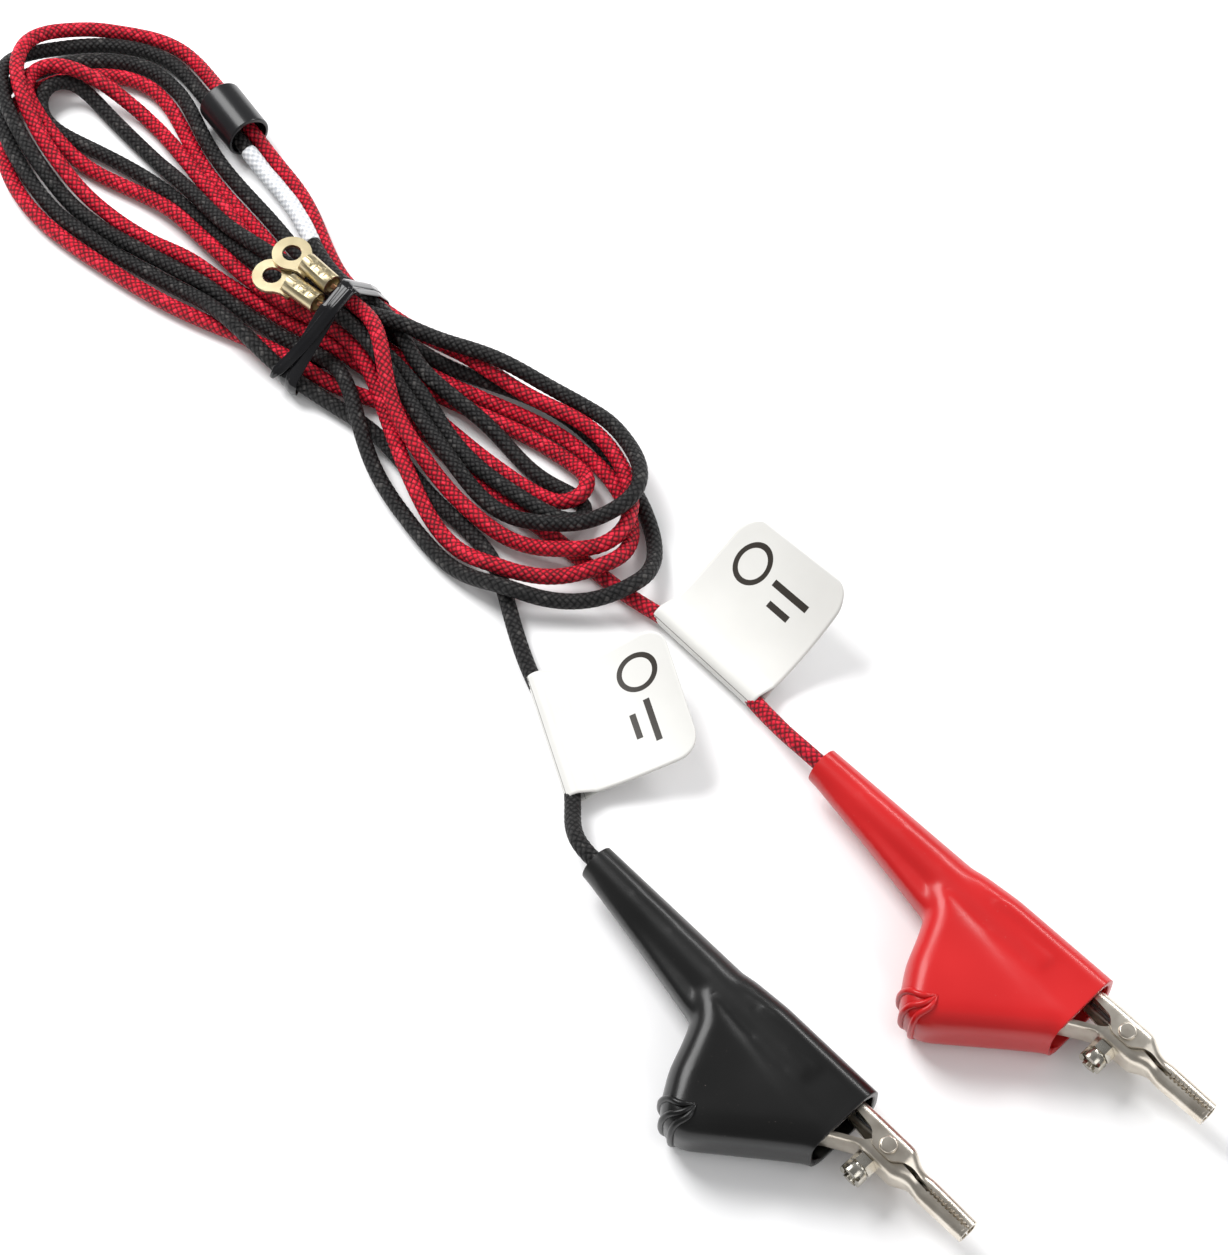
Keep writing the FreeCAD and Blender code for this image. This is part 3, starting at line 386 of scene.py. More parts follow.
def metal_material(name, colour, shade, roughness):
    """Plated metal with slight tarnish and fine handling marks."""
    s = Shader(name)
    cloud = s.noise(260.0, 4.0)
    fine = s.noise(2600.0, 2.0)
    tint = s.mix(s.span(cloud, 0.3, 0.75), shade, colour)
    rough = s.math("MULTIPLY_ADD", cloud, 0.22, roughness - 0.1)
    s.bump(s.math("MULTIPLY_ADD", fine, 0.3, cloud), 0.00005, 0.6)
    return s.set(Base_Color=tint, Metallic=1.0, Roughness=rough)


def film_material(name):
    """Off-white film, with a plain printed mark: a ring and two bars, in millimetres."""
    s = Shader(name)
    u, v = s.uv()

    def within(value, centre, half):
        offset = s.math("SUBTRACT", value, centre)
        return s.math("LESS_THAN", s.math("ABSOLUTE", offset), half)

    ring_u, ring_v, ring_r, ring_half = 6.5, 17.6, 3.3, 0.5
    bars = ((-3.6, 17.6, 4.4, 0.6), (-3.6, 14.4, 2.6, 0.6))    # centre u, v and half u, v
    seam_v, seam_half = -1.72, 0.05
    du = s.math("SUBTRACT", u, ring_u)
    dv = s.math("SUBTRACT", v, ring_v)
    distance = s.math("SQRT", s.math("ADD", s.math("MULTIPLY", du, du), s.math("MULTIPLY", dv, dv)))
    printed = within(distance, ring_r, ring_half)
    for centre_u, centre_v, half_u, half_v in bars:
        bar = s.math("MULTIPLY", within(u, centre_u, half_u), within(v, centre_v, half_v))
        printed = s.math("MAXIMUM", printed, bar)
    paper = s.mix(s.noise(90.0, 3.0), rgb(0.60, 0.595, 0.57), rgb(0.68, 0.675, 0.65))
    seam = within(v, seam_v, seam_half)
    paper = s.mix(s.math("MULTIPLY", seam, 0.85), paper, rgb(0.16, 0.155, 0.15))
    colour = s.mix(printed, paper, rgb(0.03, 0.025, 0.02))
    s.bump(s.noise(60.0, 3.0), 0.0003, 0.25)
    return s.set(Base_Color=colour, Roughness=0.38)


def mottled_material(name):
    """White shrunk sleeve over the braid, with faint raised diagonals; its colour is painted darker in the grooves
    between them, as shade.
    """
    s = Shader(name)
    u, v = s.uv()
    turn = s.math("MULTIPLY", u, STRANDS)
    run = s.math("DIVIDE", v, 1.5)
    first = s.math("SINE", s.math("MULTIPLY", s.math("ADD", turn, run), 2 * math.pi))
    second = s.math("SINE", s.math("MULTIPLY", s.math("SUBTRACT", turn, run), 2 * math.pi))
    diagonals_relief_and_shade = s.math("MULTIPLY", s.math("ADD", first, second), 0.25)
    height = s.math("ADD", diagonals_relief_and_shade, s.noise(700.0, 3.0))
    # Painted shade: the colour follows the relief and is darker where it is low, in the grooves. The noise part is
    # random tone.
    colour = s.mix(s.span(height, 0.1, 0.9), rgb(0.46, 0.48, 0.51), rgb(0.7, 0.71, 0.72))
    s.bump(height, 0.00015, 0.8)
    return s.set(Base_Color=colour, Roughness=0.42)


def make_materials():
    """Every slot's material; colours are dark and bright, or light and tarnished."""
    made = {
        # For the braids, dark is the colour of the painted shade in the gaps between strands and of worn spots;
        # bright is the colour on the strand tops.
        "black_braid": braid_material(
            "black_braid", rgb(0.0015, 0.0015, 0.002), rgb(0.026, 0.025, 0.025),
            fleck=rgb(0.06, 0.057, 0.055), fleck_share=0.06),
        "red_braid": braid_material(
            "red_braid", rgb(0.10, 0.001, 0.005), rgb(0.62, 0.004, 0.025),
            fleck=rgb(0.75, 0.02, 0.05), fleck_share=0.12),
        "label_film": film_material("label_film"),
        "white_sleeve": mottled_material("white_sleeve"),
    }
    vinyls = {
        "black_boot": ((0.003, 0.003, 0.003), (0.006, 0.006, 0.006), 0.3),
        "red_boot": ((0.46, 0.005, 0.006), (0.53, 0.007, 0.008), 0.3),
        "insulation": ((0.02, 0.02, 0.022), (0.03, 0.03, 0.034), 0.5),
        "black_sleeve": ((0.004, 0.004, 0.005), (0.009, 0.009, 0.01), 0.26),
        "tie_plastic": ((0.003, 0.003, 0.004), (0.01, 0.01, 0.011), 0.12),
    }
    metals = {
        "nickel_plate": ((0.9, 0.84, 0.74), (0.74, 0.67, 0.57), 0.3),
        "post_plating": ((0.74, 0.71, 0.64), (0.55, 0.52, 0.45), 0.22),
        "terminal_plating": ((0.74, 0.64, 0.42), (0.62, 0.53, 0.33), 0.34),
        "spring_steel": ((0.5, 0.5, 0.5), (0.35, 0.35, 0.35), 0.35),
        "conductor": ((0.72, 0.38, 0.22), (0.5, 0.24, 0.12), 0.35),
    }
    for slot, (first, second, roughness) in vinyls.items():
        made[slot] = vinyl_material(slot, rgb(*first), rgb(*second), roughness)
    for slot, (first, second, roughness) in metals.items():
        made[slot] = metal_material(slot, rgb(*first), rgb(*second), roughness)
    return made


MATERIALS = make_materials()


def dress(obj, slot):
    """Give a piece the material of its slot."""
    obj.data.materials.clear()
    obj.data.materials.append(MATERIALS[slot])


def stand_in(obj, slot, node, body="harness"):
    """Dress a piece, show it instead of a CAD node, and let it move with a body."""
    dress(obj, slot)
    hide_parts(node)
    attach(obj, body)


# ---- cords ---------------------------------------------------------------------------------
def braid_relief(u, v):
    """Height of the braid's surface, 0 to 1, at u turns and v millimetres."""
    first = u * STRANDS + v / BRAID_PITCH
    second = u * STRANDS - v / BRAID_PITCH
    over = (np.floor(first) + np.floor(second)) % 2
    a = np.sin(np.pi * (first % 1))
    b = np.sin(np.pi * (second % 1))
    return np.where(over > 0.5, a * (0.45 + 0.55 * b), b * (0.45 + 0.55 * a))


def cord_piece(colour, part, points, start_length):
    """One stretch of a cord's braid, whose weave carries on from the stretch before."""
    sides = 27
    lengths = start_length + lengths_along(points)
    u, v = np.meshgrid(np.arange(sides) / sides, lengths)
    radius = CORD_R - 0.05 + BRAID_RELIEF * braid_relief(u, v)
    obj = swept(f"{colour}_cord_{part}", points, radius, sides)
    layer = obj.data.uv_layers["UVMap"].data
    flat = np.empty(len(layer) * 2, np.float32)
    layer.foreach_get("uv", flat)
    flat = flat.reshape(-1, 2)
    flat[:, 1] += start_length
    layer.foreach_set("uv", flat.ravel())
    stand_in(obj, colour + "_braid", colour + "_cord_braid")


def span_of(node, line, lengths, far):
    """Distances along a line between which a CAD node is nearer to it than far."""
    points, _ = welded(node)
    near = []
    for point in points[:: max(1, len(points) // 4000)]:
        gaps = np.linalg.norm(line - point, axis=1)
        best = int(np.argmin(gaps))
        if gaps[best] < far:
            near.append(lengths[best])
    near = np.array(near)
    near = near[np.abs(near - np.median(near)) < 40]       # not another turn of the same cord
    return near.min(), near.max()


def make_cords():
    """Both braids, each in two stretches."""
    for colour in COLOURS:
        line, lengths = resample(LINES[colour], 0.36)
        line = smooth_line(line, 3)
        kept = (lengths > BRAID_START) & (lengths < lengths[-1] - BRAID_END)
        points, stops = line[kept], lengths[kept]
        cut = len(points) // 2
        cord_piece(colour, "a", points[: cut + 1], stops[0])
        cord_piece(colour, "b", points[cut:], stops[cut])


def make_marker():
    """White shrunk sleeve on the black cord, rolled in a little at both ends."""
    line, lengths = resample(LINES["black"], 0.3)
    line = smooth_line(line, 3)
    low, high = span_of("white_marker_sleeve", line, lengths, 2.1)
    kept = (lengths > low + 0.05) & (lengths < high - 0.05)
    points, stops = line[kept], lengths[kept]
    sides = 32
    u, v = np.meshgrid(np.arange(sides) / sides, stops)
    to_end = np.minimum(v - stops[0], stops[-1] - v)
    waves = 0.05 * braid_relief(u, v * 0.75) + 0.03 * np.sin(v * 0.9)
    radius = MARKER_R + waves - 0.12 * np.exp(-to_end / 0.35)
    obj = swept("marker_sleeve", points, radius, sides)
    stand_in(obj, "white_sleeve", "white_marker_sleeve")


# ---- labels --------------------------------------------------------------------------------
def closed_sheet(name, surface, thickness, uvs_of):
    """Thin closed sheet from a grid of points; uvs_of is a (u, v) grid in millimetres."""
    rows, columns, _ = surface.shape
    along = np.gradient(surface, axis=0)
    across = np.gradient(surface, axis=1)
    normal = np.cross(along, across)
    normal /= np.linalg.norm(normal, axis=2)[:, :, None] + 1e-12
    front = (surface + normal * thickness / 2).reshape(-1, 3)
    back = (surface - normal * thickness / 2).reshape(-1, 3)
    quads, _, _ = grid_faces(rows, columns, False)
    size = rows * columns
    faces = [list(q) for q in quads] + [[x + size for x in q[::-1]] for q in quads]
    border = list(range(columns))
    border += [r * columns + columns - 1 for r in range(1, rows)]
    border += [(rows - 1) * columns + c for c in range(columns - 2, -1, -1)]
    border += [r * columns for r in range(rows - 2, 0, -1)]
    for a, b in zip(border, border[1:] + border[:1]):
        faces.append([b, a, a + size, b + size])
    flat = uvs_of.reshape(-1, 2)
    corner_uvs = []
    for face in faces:
        corner_uvs.extend(flat[index % size] for index in face)
    return add_mesh(name, np.vstack([front, back]), faces, np.array(corner_uvs))


def make_label(colour):
    """Film wrapped round the cord, its two ends stuck together into a curled flag.

    The CAD node gives the flag's size and direction: along the cord, out from it, and up.
    """
    node = colour + "_flag_label"
    line, lengths = resample(LINES[colour], 0.5)
    low, high = span_of(node, line, lengths, 2.3)
    inside = (lengths >= low) & (lengths <= high)
    spine = line[inside]
    middle = spine.mean(axis=0)
    along = spine[-1] - spine[0]
    along[2] = 0
    along /= np.linalg.norm(along)
    points, _ = welded(node)
    side = points[:, :2].mean(axis=0) - middle[:2]
    out = np.array([side[0], side[1], 0.0])
    out -= along * (out @ along)
    out /= np.linalg.norm(out)
    local = points - middle
    half = np.abs(local @ along).max() - 0.15
    reach = (local @ out).max() - 0.3
    lift = points[:, 2].max() - middle[2] - 0.35
    turns = np.radians(np.linspace(-62, -298, 26))         # open towards the flag
    hoop = [(WRAP_R * math.cos(t), WRAP_R * math.sin(t)) for t in turns]
    stops = np.linspace(4.2, reach, 44)                    # the two layers touch from here
    share = (stops - 2.0) / (reach - 2.0)
    rise = lift * (0.28 * share + 0.72 * share ** 2.2)
    lower = list(zip(stops[::-1], (rise - FILM * 0.55)[::-1]))
    upper = list(zip(stops, rise + FILM * 0.55))
    path = np.array(lower + hoop + upper)
    path, _ = resample(np.c_[path, np.zeros(len(path))], 0.45)
    shares = np.linspace(-1, 1, 48)
    surface = np.zeros((len(path), len(shares), 3))
    uvs = np.zeros((len(path), len(shares), 2))
    for i, (b, z, _) in enumerate(path):
        past = max(0.0, b - (reach - FLAG_CORNER_R))
        rounded = FLAG_CORNER_R - math.sqrt(max(FLAG_CORNER_R ** 2 - past ** 2, 0.0))
        a = shares * (half - rounded)
        flag = max(0.0, (b - 3.0) / (reach - 3.0))
        curl = 1.0 + CURL[colour] * (a / half) * flag
        sag = 0.5 * math.sin(math.pi * flag) * (a / half) ** 2
        height = z * (1 if flag == 0 else curl) + sag * flag
        surface[i] = middle + along * a[:, None] + out * b
        surface[i, :, 2] += height
        uvs[i, :, 0] = a
        uvs[i, :, 1] = b if i > len(path) // 2 else -b       # the print is on the upper side
    obj = closed_sheet(colour + "_label", surface, FILM, uvs)
    stand_in(obj, "label_film", node)


# ---- boots ---------------------------------------------------------------------------------
def inset_polygon(outline, distance):
    """Closed outline, running either way round, moved inwards by a distance."""
    outline = np.asarray(outline, float)
    before = np.roll(outline, 1, axis=0)
    after = np.roll(outline, -1, axis=0)
    area = np.sum(before[:, 0] * outline[:, 1] - outline[:, 0] * before[:, 1])
    sign = 1.0 if area > 0 else -1.0

    def normals(vectors):
        sized = vectors / np.linalg.norm(vectors, axis=1)[:, None]
        return np.c_[-sized[:, 1], sized[:, 0]] * sign

    first = normals(outline - before)
    second = normals(after - outline)
    middle = first + second
    middle /= np.linalg.norm(middle, axis=1)[:, None]
    spread = np.maximum((middle * first).sum(axis=1), 0.35)
    return outline + middle * (distance / spread)[:, None]


def refine_outline(corners, step, passes):
    """Closed outline with many points and rounded corners."""
    corners = np.asarray(corners, float)
    points = []
    for a, b in zip(corners, np.roll(corners, -1, axis=0)):
        count = max(1, int(np.linalg.norm(b - a) / step))
        points.extend(a + (b - a) * k / count for k in range(count))
    points = np.array(points)
    for _ in range(passes):
        points = points * 0.5 + (np.roll(points, 1, axis=0) + np.roll(points, -1, axis=0)) * 0.25
    return points


def slab(outline, rim, half_at):
    """Points and faces of a closed rounded slab; half_at gives its half thickness at x."""
    rings = []
    turns = np.linspace(0, math.pi / 2, 5)
    layers = [(-1, t) for t in turns[::-1]] + [(1, t) for t in turns]
    for side, turn in layers:
        ring = inset_polygon(outline, rim * (1 - math.cos(turn)))
        half = half_at(ring[:, 0])
        rings.append(np.c_[ring, side * (half - rim * (1 - math.sin(turn)))])
    return np.vstack(rings), tube_faces(len(rings), len(outline))


def cone(start, end, start_r, end_r):
    """Points and faces of a closed cone along a line in the xy plane."""
    sides = 32
    start, end = np.array(start, float), np.array(end, float)
    along = (end - start) / np.linalg.norm(end - start)
    across = np.array([-along[1], along[0], 0.0])
    rings = []
    for centre, radius in ((start, start_r), (end, end_r)):
        angles = 2 * math.pi * np.arange(sides) / sides
        rings.append(centre + np.outer(np.cos(angles), across) * radius
                     + np.outer(np.sin(angles), [0, 0, 1.0]) * radius)
    return np.vstack(rings), tube_faces(2, sides)


def joined(parts):
    """Several (points, faces) pairs as one."""
    points, faces, offset = [], [], 0
    for part_points, part_faces in parts:
        points.append(part_points)
        faces += [[index + offset for index in face] for face in part_faces]
        offset += len(part_points)
    return np.vstack(points), faces


def evaluated_copy(obj, name):
    """A plain mesh object of an object with its modifiers applied; the original goes."""
    graph = bpy.context.evaluated_depsgraph_get()
    mesh = bpy.data.meshes.new_from_object(obj.evaluated_get(graph))
    made = bpy.data.objects.new(name, mesh)
    bpy.context.scene.collection.objects.link(made)
    bpy.data.objects.remove(obj)
    return made


# Clip coordinates: the pivot is the origin, x runs to the jaws' tips, y is negative on the
# lever's side and z points up from the bench.
BODY_OUTLINE = [
    (-46.0, -4.6), (-46.0, 4.4), (-38.0, 5.7), (-30.0, 6.0), (-9.0, 6.1), (-4.0, 6.1),
    (-4.0, -10.2), (-7.8, -9.9), (-12.5, -13.7), (-25.0, -24.3), (-27.0, -25.2), (-30.0, -25.0),
    (-32.6, -22.8), (-36.4, -17.0), (-38.4, -12.0), (-40.6, -7.4),
]
FIN_OUTLINE = [
    (-78.0, -1.6), (-74.5, -1.7), (-57.5, -4.4), (-40.0, -7.6), (-34.0, -8.0), (-34.0, 2.0), (-78.0, 2.0),
]
BODY_HALF = ((-46, -40, -30), (3.4, 4.9, 6.2))      # half thickness at these x
FIN_HALF = ((-78, -34), (2.1, 3.4))
BODY_ROUNDING = 4.1
FIN_ROUNDING = 1.6
NECK = ((-78.0, 1.9, 0), (-18.0, -0.6, 0), 3.45, 6.15)      # two centres, two radii
BOOT_MOUTH_X = -8.2             # the outlines run on past both ends, and are cut there
BOOT_END_X = -74.5
PAD_FAN = (-27.4, -19.1)        # the ribs of the thumb pad start here and end at its rim
PAD_RIM = ((-32.7, -22.2), (-30.7, -25.3), (-27.4, -25.4))
RIB_R = 0.62


def clip_matrix(colour):
    """Placement of a clip: its pivot, with x towards the jaws and z up; in millimetres."""
    pivot = Vector(JOINTS[colour + "_jaw_hinge"]["pos_m"]) / MM
    mount = next(m for m in frame["record"]["mounts"] if m["name"] == colour + "_jaws")
    heading = math.atan2(mount["axis"][1], mount["axis"][0])
    return Matrix.Translation(pivot) @ Matrix.Rotation(heading, 4, "Z")


def to_row(points, matrix):
    """Points of a clip in the coordinates of the whole part, in millimetres."""
    return np.asarray(points) @ np.array(matrix.to_3x3()).T + np.array(matrix.translation)


def boot_rib(tree, rim_point):
    """Raised rib from the thumb pad's middle over its rim, on both sides of the boot."""
    fan, rim = np.array(PAD_FAN), np.array(rim_point)
    bow = np.array([-(rim - fan)[1], (rim - fan)[0]]) * 0.16
    route = []
    for share in np.linspace(0.0, 1.0, 12):
        spot = fan + (rim - fan) * share * 0.96 + bow * math.sin(math.pi * share)
        route.append((spot[0], spot[1], 7.5))
    outside = rim + (rim - fan) / np.linalg.norm(rim - fan) * 1.5
    for z in np.linspace(6.0, -6.0, 12):
        route.append((outside[0], outside[1], z))
    for share in np.linspace(1.0, 0.3, 8):
        spot = fan + (rim - fan) * share * 0.96
        route.append((spot[0], spot[1], -7.5))
    landed = []
    for spot in route:
        place, normal, _, _ = tree.find_nearest(Vector(spot) * MM)
        landed.append(np.array(place / MM) + np.array(normal) * 0.1)
    line, _ = resample(np.array(landed), 0.6)
    line = smooth_line(line, 6)
    share = np.linspace(0, 1, len(line))
    size = RIB_R * np.minimum(1.0, np.minimum(share, 1 - share) * 8 + 0.15)
    return round_points(line, size[:, None], 10), tube_faces(len(line), 10)


def blend_with_jaws(obj, node, colour):
    """Hide the CAD node that a piece stands in for, and bake the piece's placement into its mesh."""
    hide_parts(colour + node)
    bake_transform(obj)


def boot_skin():
    """Closed outer surface of a boot: a tapered neck, a fin under it and the body over the lever."""
    parts = [
        slab(refine_outline(BODY_OUTLINE, 0.8, 3), BODY_ROUNDING, lambda x: np.interp(x, *BODY_HALF)),
        slab(refine_outline(FIN_OUTLINE, 0.8, 1), FIN_ROUNDING, lambda x: np.interp(x, *FIN_HALF)),
        cone(*NECK),
    ]
    rough = add_mesh("rough", *joined(parts))
    remesh = rough.modifiers.new("skin", "REMESH")
    remesh.mode = "VOXEL"
    remesh.voxel_size = 0.45 * MM
    relax = rough.modifiers.new("relax", "SMOOTH")
    relax.factor = 0.5
    relax.iterations = 26
    return evaluated_copy(rough, "skin")


def make_boot(colour):
    """Soft hollow boot, open at the cord's end and at the jaws, with ribs on its thumb pad."""
    skin = boot_skin()
    mesh = skin.data
    tree = BVHTree.FromPolygons([v.co for v in mesh.vertices], [list(p.vertices) for p in mesh.polygons])
    ribs = [boot_rib(tree, rim) for rim in PAD_RIM]
    cut = bmesh.new()
    cut.from_mesh(mesh)
    for x, side in ((BOOT_MOUTH_X, 1), (BOOT_END_X, -1)):
        bmesh.ops.bisect_plane(
            cut, geom=cut.verts[:] + cut.edges[:] + cut.faces[:],
            plane_co=(x * MM, 0, 0), plane_no=(side, 0, 0), clear_outer=True)
    cut.to_mesh(mesh)
    cut.free()
    wall = skin.modifiers.new("wall", "SOLIDIFY")
    wall.thickness = BOOT_WALL * MM
    wall.offset = -1
    wall.use_even_offset = False
    shell = evaluated_copy(skin, "shell")
    shell_points = np.array([v.co for v in shell.data.vertices]) / MM
    shell_faces = [list(p.vertices) for p in shell.data.polygons]
    bpy.data.objects.remove(shell)
    points, faces = joined([(shell_points, shell_faces)] + ribs)
    obj = add_mesh(colour + "_boot_skin", to_row(points, clip_matrix(colour)), faces)
    dress(obj, colour + "_boot")
    blend_with_jaws(obj, "_boot", colour)


# ---- twist tie ---------------------------------------------------------------------------
UP = np.array([0, 0, 1.0])


def tie_axes():
    """Directions along and across the strands where they pass under the tie."""
    total = np.zeros(3)
    for line in LINES.values():
        steps = np.diff(line, axis=0)
        near = np.linalg.norm(line[:-1, :2], axis=1) < 9
        for step in steps[near]:
            total += step if step[0] > 0 else -step
    total[2] = 0
    along = total / np.linalg.norm(total)
    return along, np.array([-along[1], along[0], 0.0])


def tie_route(gap, along, across):
    """Outline that hugs the strands under the tie: distance across and height."""
    spots = []
    for line in LINES.values():
        fine, _ = resample(line, 0.5)
        u, v = fine @ along, fine @ across
        near = (np.abs(u) < 3.0) & (np.abs(v) < 16)         # only the tied bundle
        spots.append(np.c_[v[near], fine[near, 2]])
    spots = np.vstack(spots)
    route, normals = [], []
    for angle in np.radians(np.arange(0, 360, 2.0)):
        normal = np.array([math.cos(angle), math.sin(angle)])
        spot = spots[np.argmax(spots @ normal)]
        route.append(spot + normal * (CORD_R + gap))
        normals.append(normal)
    return np.array(route), np.array(normals)


def tie_section():
    """Outline of the tie's strip, with the wire raised along the middle of its outer side."""
    section = []
    for angle in np.radians(np.arange(0, 360, 15)):
        x = TIE_WIDTH / 2 * math.copysign(abs(math.cos(angle)) ** 0.55, math.cos(angle))
        wire = 0.24 * math.exp(-(x / 0.42) ** 2) if math.sin(angle) > 0 else 0.0
        section.append((x, TIE_THICKNESS / 2 * math.sin(angle) + wire))
    return np.array(section)


def tie_turn(name, gap, lean, phase):
    """One turn of the tie round the bundle, leaning to one side and a little wrinkled."""
    along, across = tie_axes()
    route, normals = tie_route(gap, along, across)
    loop = np.vstack([route, route[:1]])
    turns = np.r_[normals, normals[:1]]
    lengths = lengths_along(loop)
    stops = np.linspace(0, lengths[-1], 181)[:-1]
    flat = np.stack([np.interp(stops, lengths, loop[:, k]) for k in range(2)], 1)
    facing = np.stack([np.interp(stops, lengths, turns[:, k]) for k in range(2)], 1)
    facing /= np.linalg.norm(facing, axis=1)[:, None]
    section = tie_section()
    points = np.zeros((len(stops), len(section), 3))
    for i, (place, normal) in enumerate(zip(flat, facing)):
        shift = lean * math.cos(math.atan2(normal[1], normal[0]) + phase)
        outward = across * normal[0] + UP * normal[1]
        centre = across * place[0] + UP * place[1] + along * shift
        wrinkle = 0.03 * math.sin(i * 0.16 + phase * 9)
        points[i] = centre + np.outer(section[:, 0], along) + np.outer(section[:, 1] + wrinkle, outward)
    quads, _, _ = grid_faces(len(stops) + 1, len(section), True)
    obj = add_mesh(name, points.reshape(-1, 3), quads % (len(stops) * len(section)))
    stand_in(obj, "tie_plastic", "twist_tie")


def tie_tail():
    """Loose end of the tie: it leaves the knot and lies down the side of the bundle."""
    along, across = tie_axes()
    route, normals = tie_route(1.3, along, across)
    angles = np.degrees(np.arctan2(normals[:, 1], normals[:, 0]))
    kept = route[(angles > 80) & (angles < 172)]           # from the top to the far side
    path, _ = resample(np.c_[kept, np.zeros(len(kept))], 0.5)
    path = smooth_line(path, 10)[:, :2]
    run = np.gradient(path, axis=0)
    run /= np.linalg.norm(run, axis=1)[:, None]
    spots = np.linspace(-1, 1, 13)
    rows, uvs = [], []
    for place, (ahead, rise), share in zip(path, run, np.linspace(0, 1, len(path))):
        outward = across * rise - UP * ahead
        centre = across * place[0] + UP * place[1] + along * (1.3 - 4.4 * share * share)
        offsets = 1.25 * min(1.0, 0.3 + (1 - share) * 8.0) * spots
        rows.append([centre + along * x + outward * 0.2 * math.exp(-(x / 0.4) ** 2) for x in offsets])
        uvs.append([(x, 10 * share) for x in offsets])
    obj = closed_sheet("tie_tail", np.array(rows), 0.4, np.array(uvs))
    stand_in(obj, "tie_plastic", "twist_tie")


def make_tie():
    """Two turns that cross over each other, and the loose end."""
    tie_turn("tie_turn_a", 0.28, 1.3, 0.0)
    tie_turn("tie_turn_b", 0.85, -1.3, 0.25)
    tie_tail()


# ---- jaws ----------------------------------------------------------------------------------
# Half width, back and open edge of each stamped half at places x along the clip.
JAWS = {
    "fixed_jaw": {
        "width": (
            (-38, 2.2), (-32, 3.2), (-24, 3.6), (-6, 4.3), (3.8, 4.3), (6, 3.1), (7.6, 2.15), (9, 1.9),
            (19.2, 1.9),
        ),
        "back": (
            (-38, 3), (-12, 3.1), (-5, 3.3), (3.6, 3.3), (5.4, 2.5), (6.6, 1.95), (7.8, 2.1), (9, 2.4),
            (19.2, 2.2),
        ),
        "edge": (
            (-38, 1.6), (-12, 1.2), (-4, 0.2), (-2.2, -1.9), (2.2, -1.9), (3.4, -0.6), (5.2, 0.35),
            (9.6, 0.35), (19.2, 0.12),
        ),
        "holes": (((0, 0, -6), (0, 0, 6), 1.02), ((-29, 0, 0), (-29, 6, 0), 1.02)),     # rivet, screw
        "side": 1,
        "teeth": (10.0, 18.9),
    },
    "moving_jaw": {
        "width": (
            (-28.5, 3), (-24, 3.2), (-6, 3.35), (4, 3.35), (6, 2.8), (7.4, 2.05), (9, 1.85), (19.2, 1.85),
        ),
        "back": (
            (-28.5, -22), (-26, -21.4), (-20, -15.6), (-10, -6.6), (-4.4, -3.3), (3.6, -3.3), (5.4, -2.4),
            (6.6, -1.95), (7.8, -2.1), (9, -2.4), (19.2, -2.2),
        ),
        "edge": (
            (-28.5, -21.3), (-25.4, -20), (-19.4, -14.2), (-9, -5), (-3.2, -1.6), (-2, 1.9), (2, 1.9),
            (3, -0.4), (9.2, -0.4), (19.2, -0.12),
        ),
        "holes": (((0, 0, -6), (0, 0, 6), 1.06), ((-1.5, -2, 0), (-1.5, -5, 0), 0.84)),  # rivet, post
        "side": -1,
        "teeth": (9.6, 18.6),
    },
}


def cylinder(start, end, radius):
    """Points and faces of a closed cylinder between two points, in any direction."""
    sides = 36
    start, end = np.array(start, float), np.array(end, float)
    along = (end - start) / np.linalg.norm(end - start)
    side = np.array([0, 0, 1.0]) if abs(along[2]) < 0.9 else np.array([1.0, 0, 0])
    across = np.cross(along, side)
    across /= np.linalg.norm(across)
    other = np.cross(along, across)
    angles = 2 * math.pi * np.arange(sides) / sides
    ring = (np.outer(np.cos(angles), across) + np.outer(np.sin(angles), other)) * radius
    return np.vstack([start + ring, end + ring]), tube_faces(2, sides)


def channel_section(half_width, back, edge, side):
    """Half of a rounded U, from one open edge over the back to the other: (y, z) points."""
    half_width = half_width - STEEL / 2
    back = back - side * STEEL / 2
    depth = max((back - edge) * side, 0.3)
    bend = min(1.35, half_width * 0.8, depth * 0.85)       # radius of the fold
    points = [(edge + (back - side * bend - edge) * k / 6, -half_width) for k in range(6)]
    for k in range(8):
        turn = math.pi / 2 * k / 7
        points.append((back - side * bend * (1 - math.sin(turn)), -half_width + bend * (1 - math.cos(turn))))
    points += [(back, -half_width + bend + (half_width - bend) * k / 4) for k in range(1, 5)]
    return points + [(y, -z) for y, z in points[-2::-1]]


def jaw_surface(width, back, edge, side, teeth):
    """Middle surface of a stamped half, as rows of points along the clip."""
    tables = [np.array(table, float) for table in (width, back, edge)]
    first_tooth, last_tooth = teeth
    stops = np.r_[
        np.arange(tables[0][0, 0], first_tooth, 0.35),
        np.arange(first_tooth, last_tooth, TOOTH / 6),
        np.linspace(last_tooth, tables[0][-1, 0], 4),
    ]
    widths, backs, edges = (smooth_line(np.interp(stops, table[:, 0], table[:, 1]), 3) for table in tables)
    rows = []
    for x, half_width, back_y, edge_y in zip(stops, widths, backs, edges):
        if first_tooth <= x <= last_tooth:
            phase = (x - first_tooth) / TOOTH % 1
            edge_y = side * (0.14 + 0.42 * abs(2 * phase - 1))
        rows.append([(x, y, z) for y, z in channel_section(half_width, back_y, edge_y, side)])
    return np.array(rows)


def drilled(obj, start, end, radius):
    """The object with a round hole cut through it."""
    drill = add_mesh("drill", *cylinder(start, end, radius))
    cut = obj.modifiers.new("hole", "BOOLEAN")
    cut.operation = "DIFFERENCE"
    cut.solver = "EXACT"
    cut.object = drill
    obj = evaluated_copy(obj, obj.name)
    bpy.data.objects.remove(drill)
    return obj


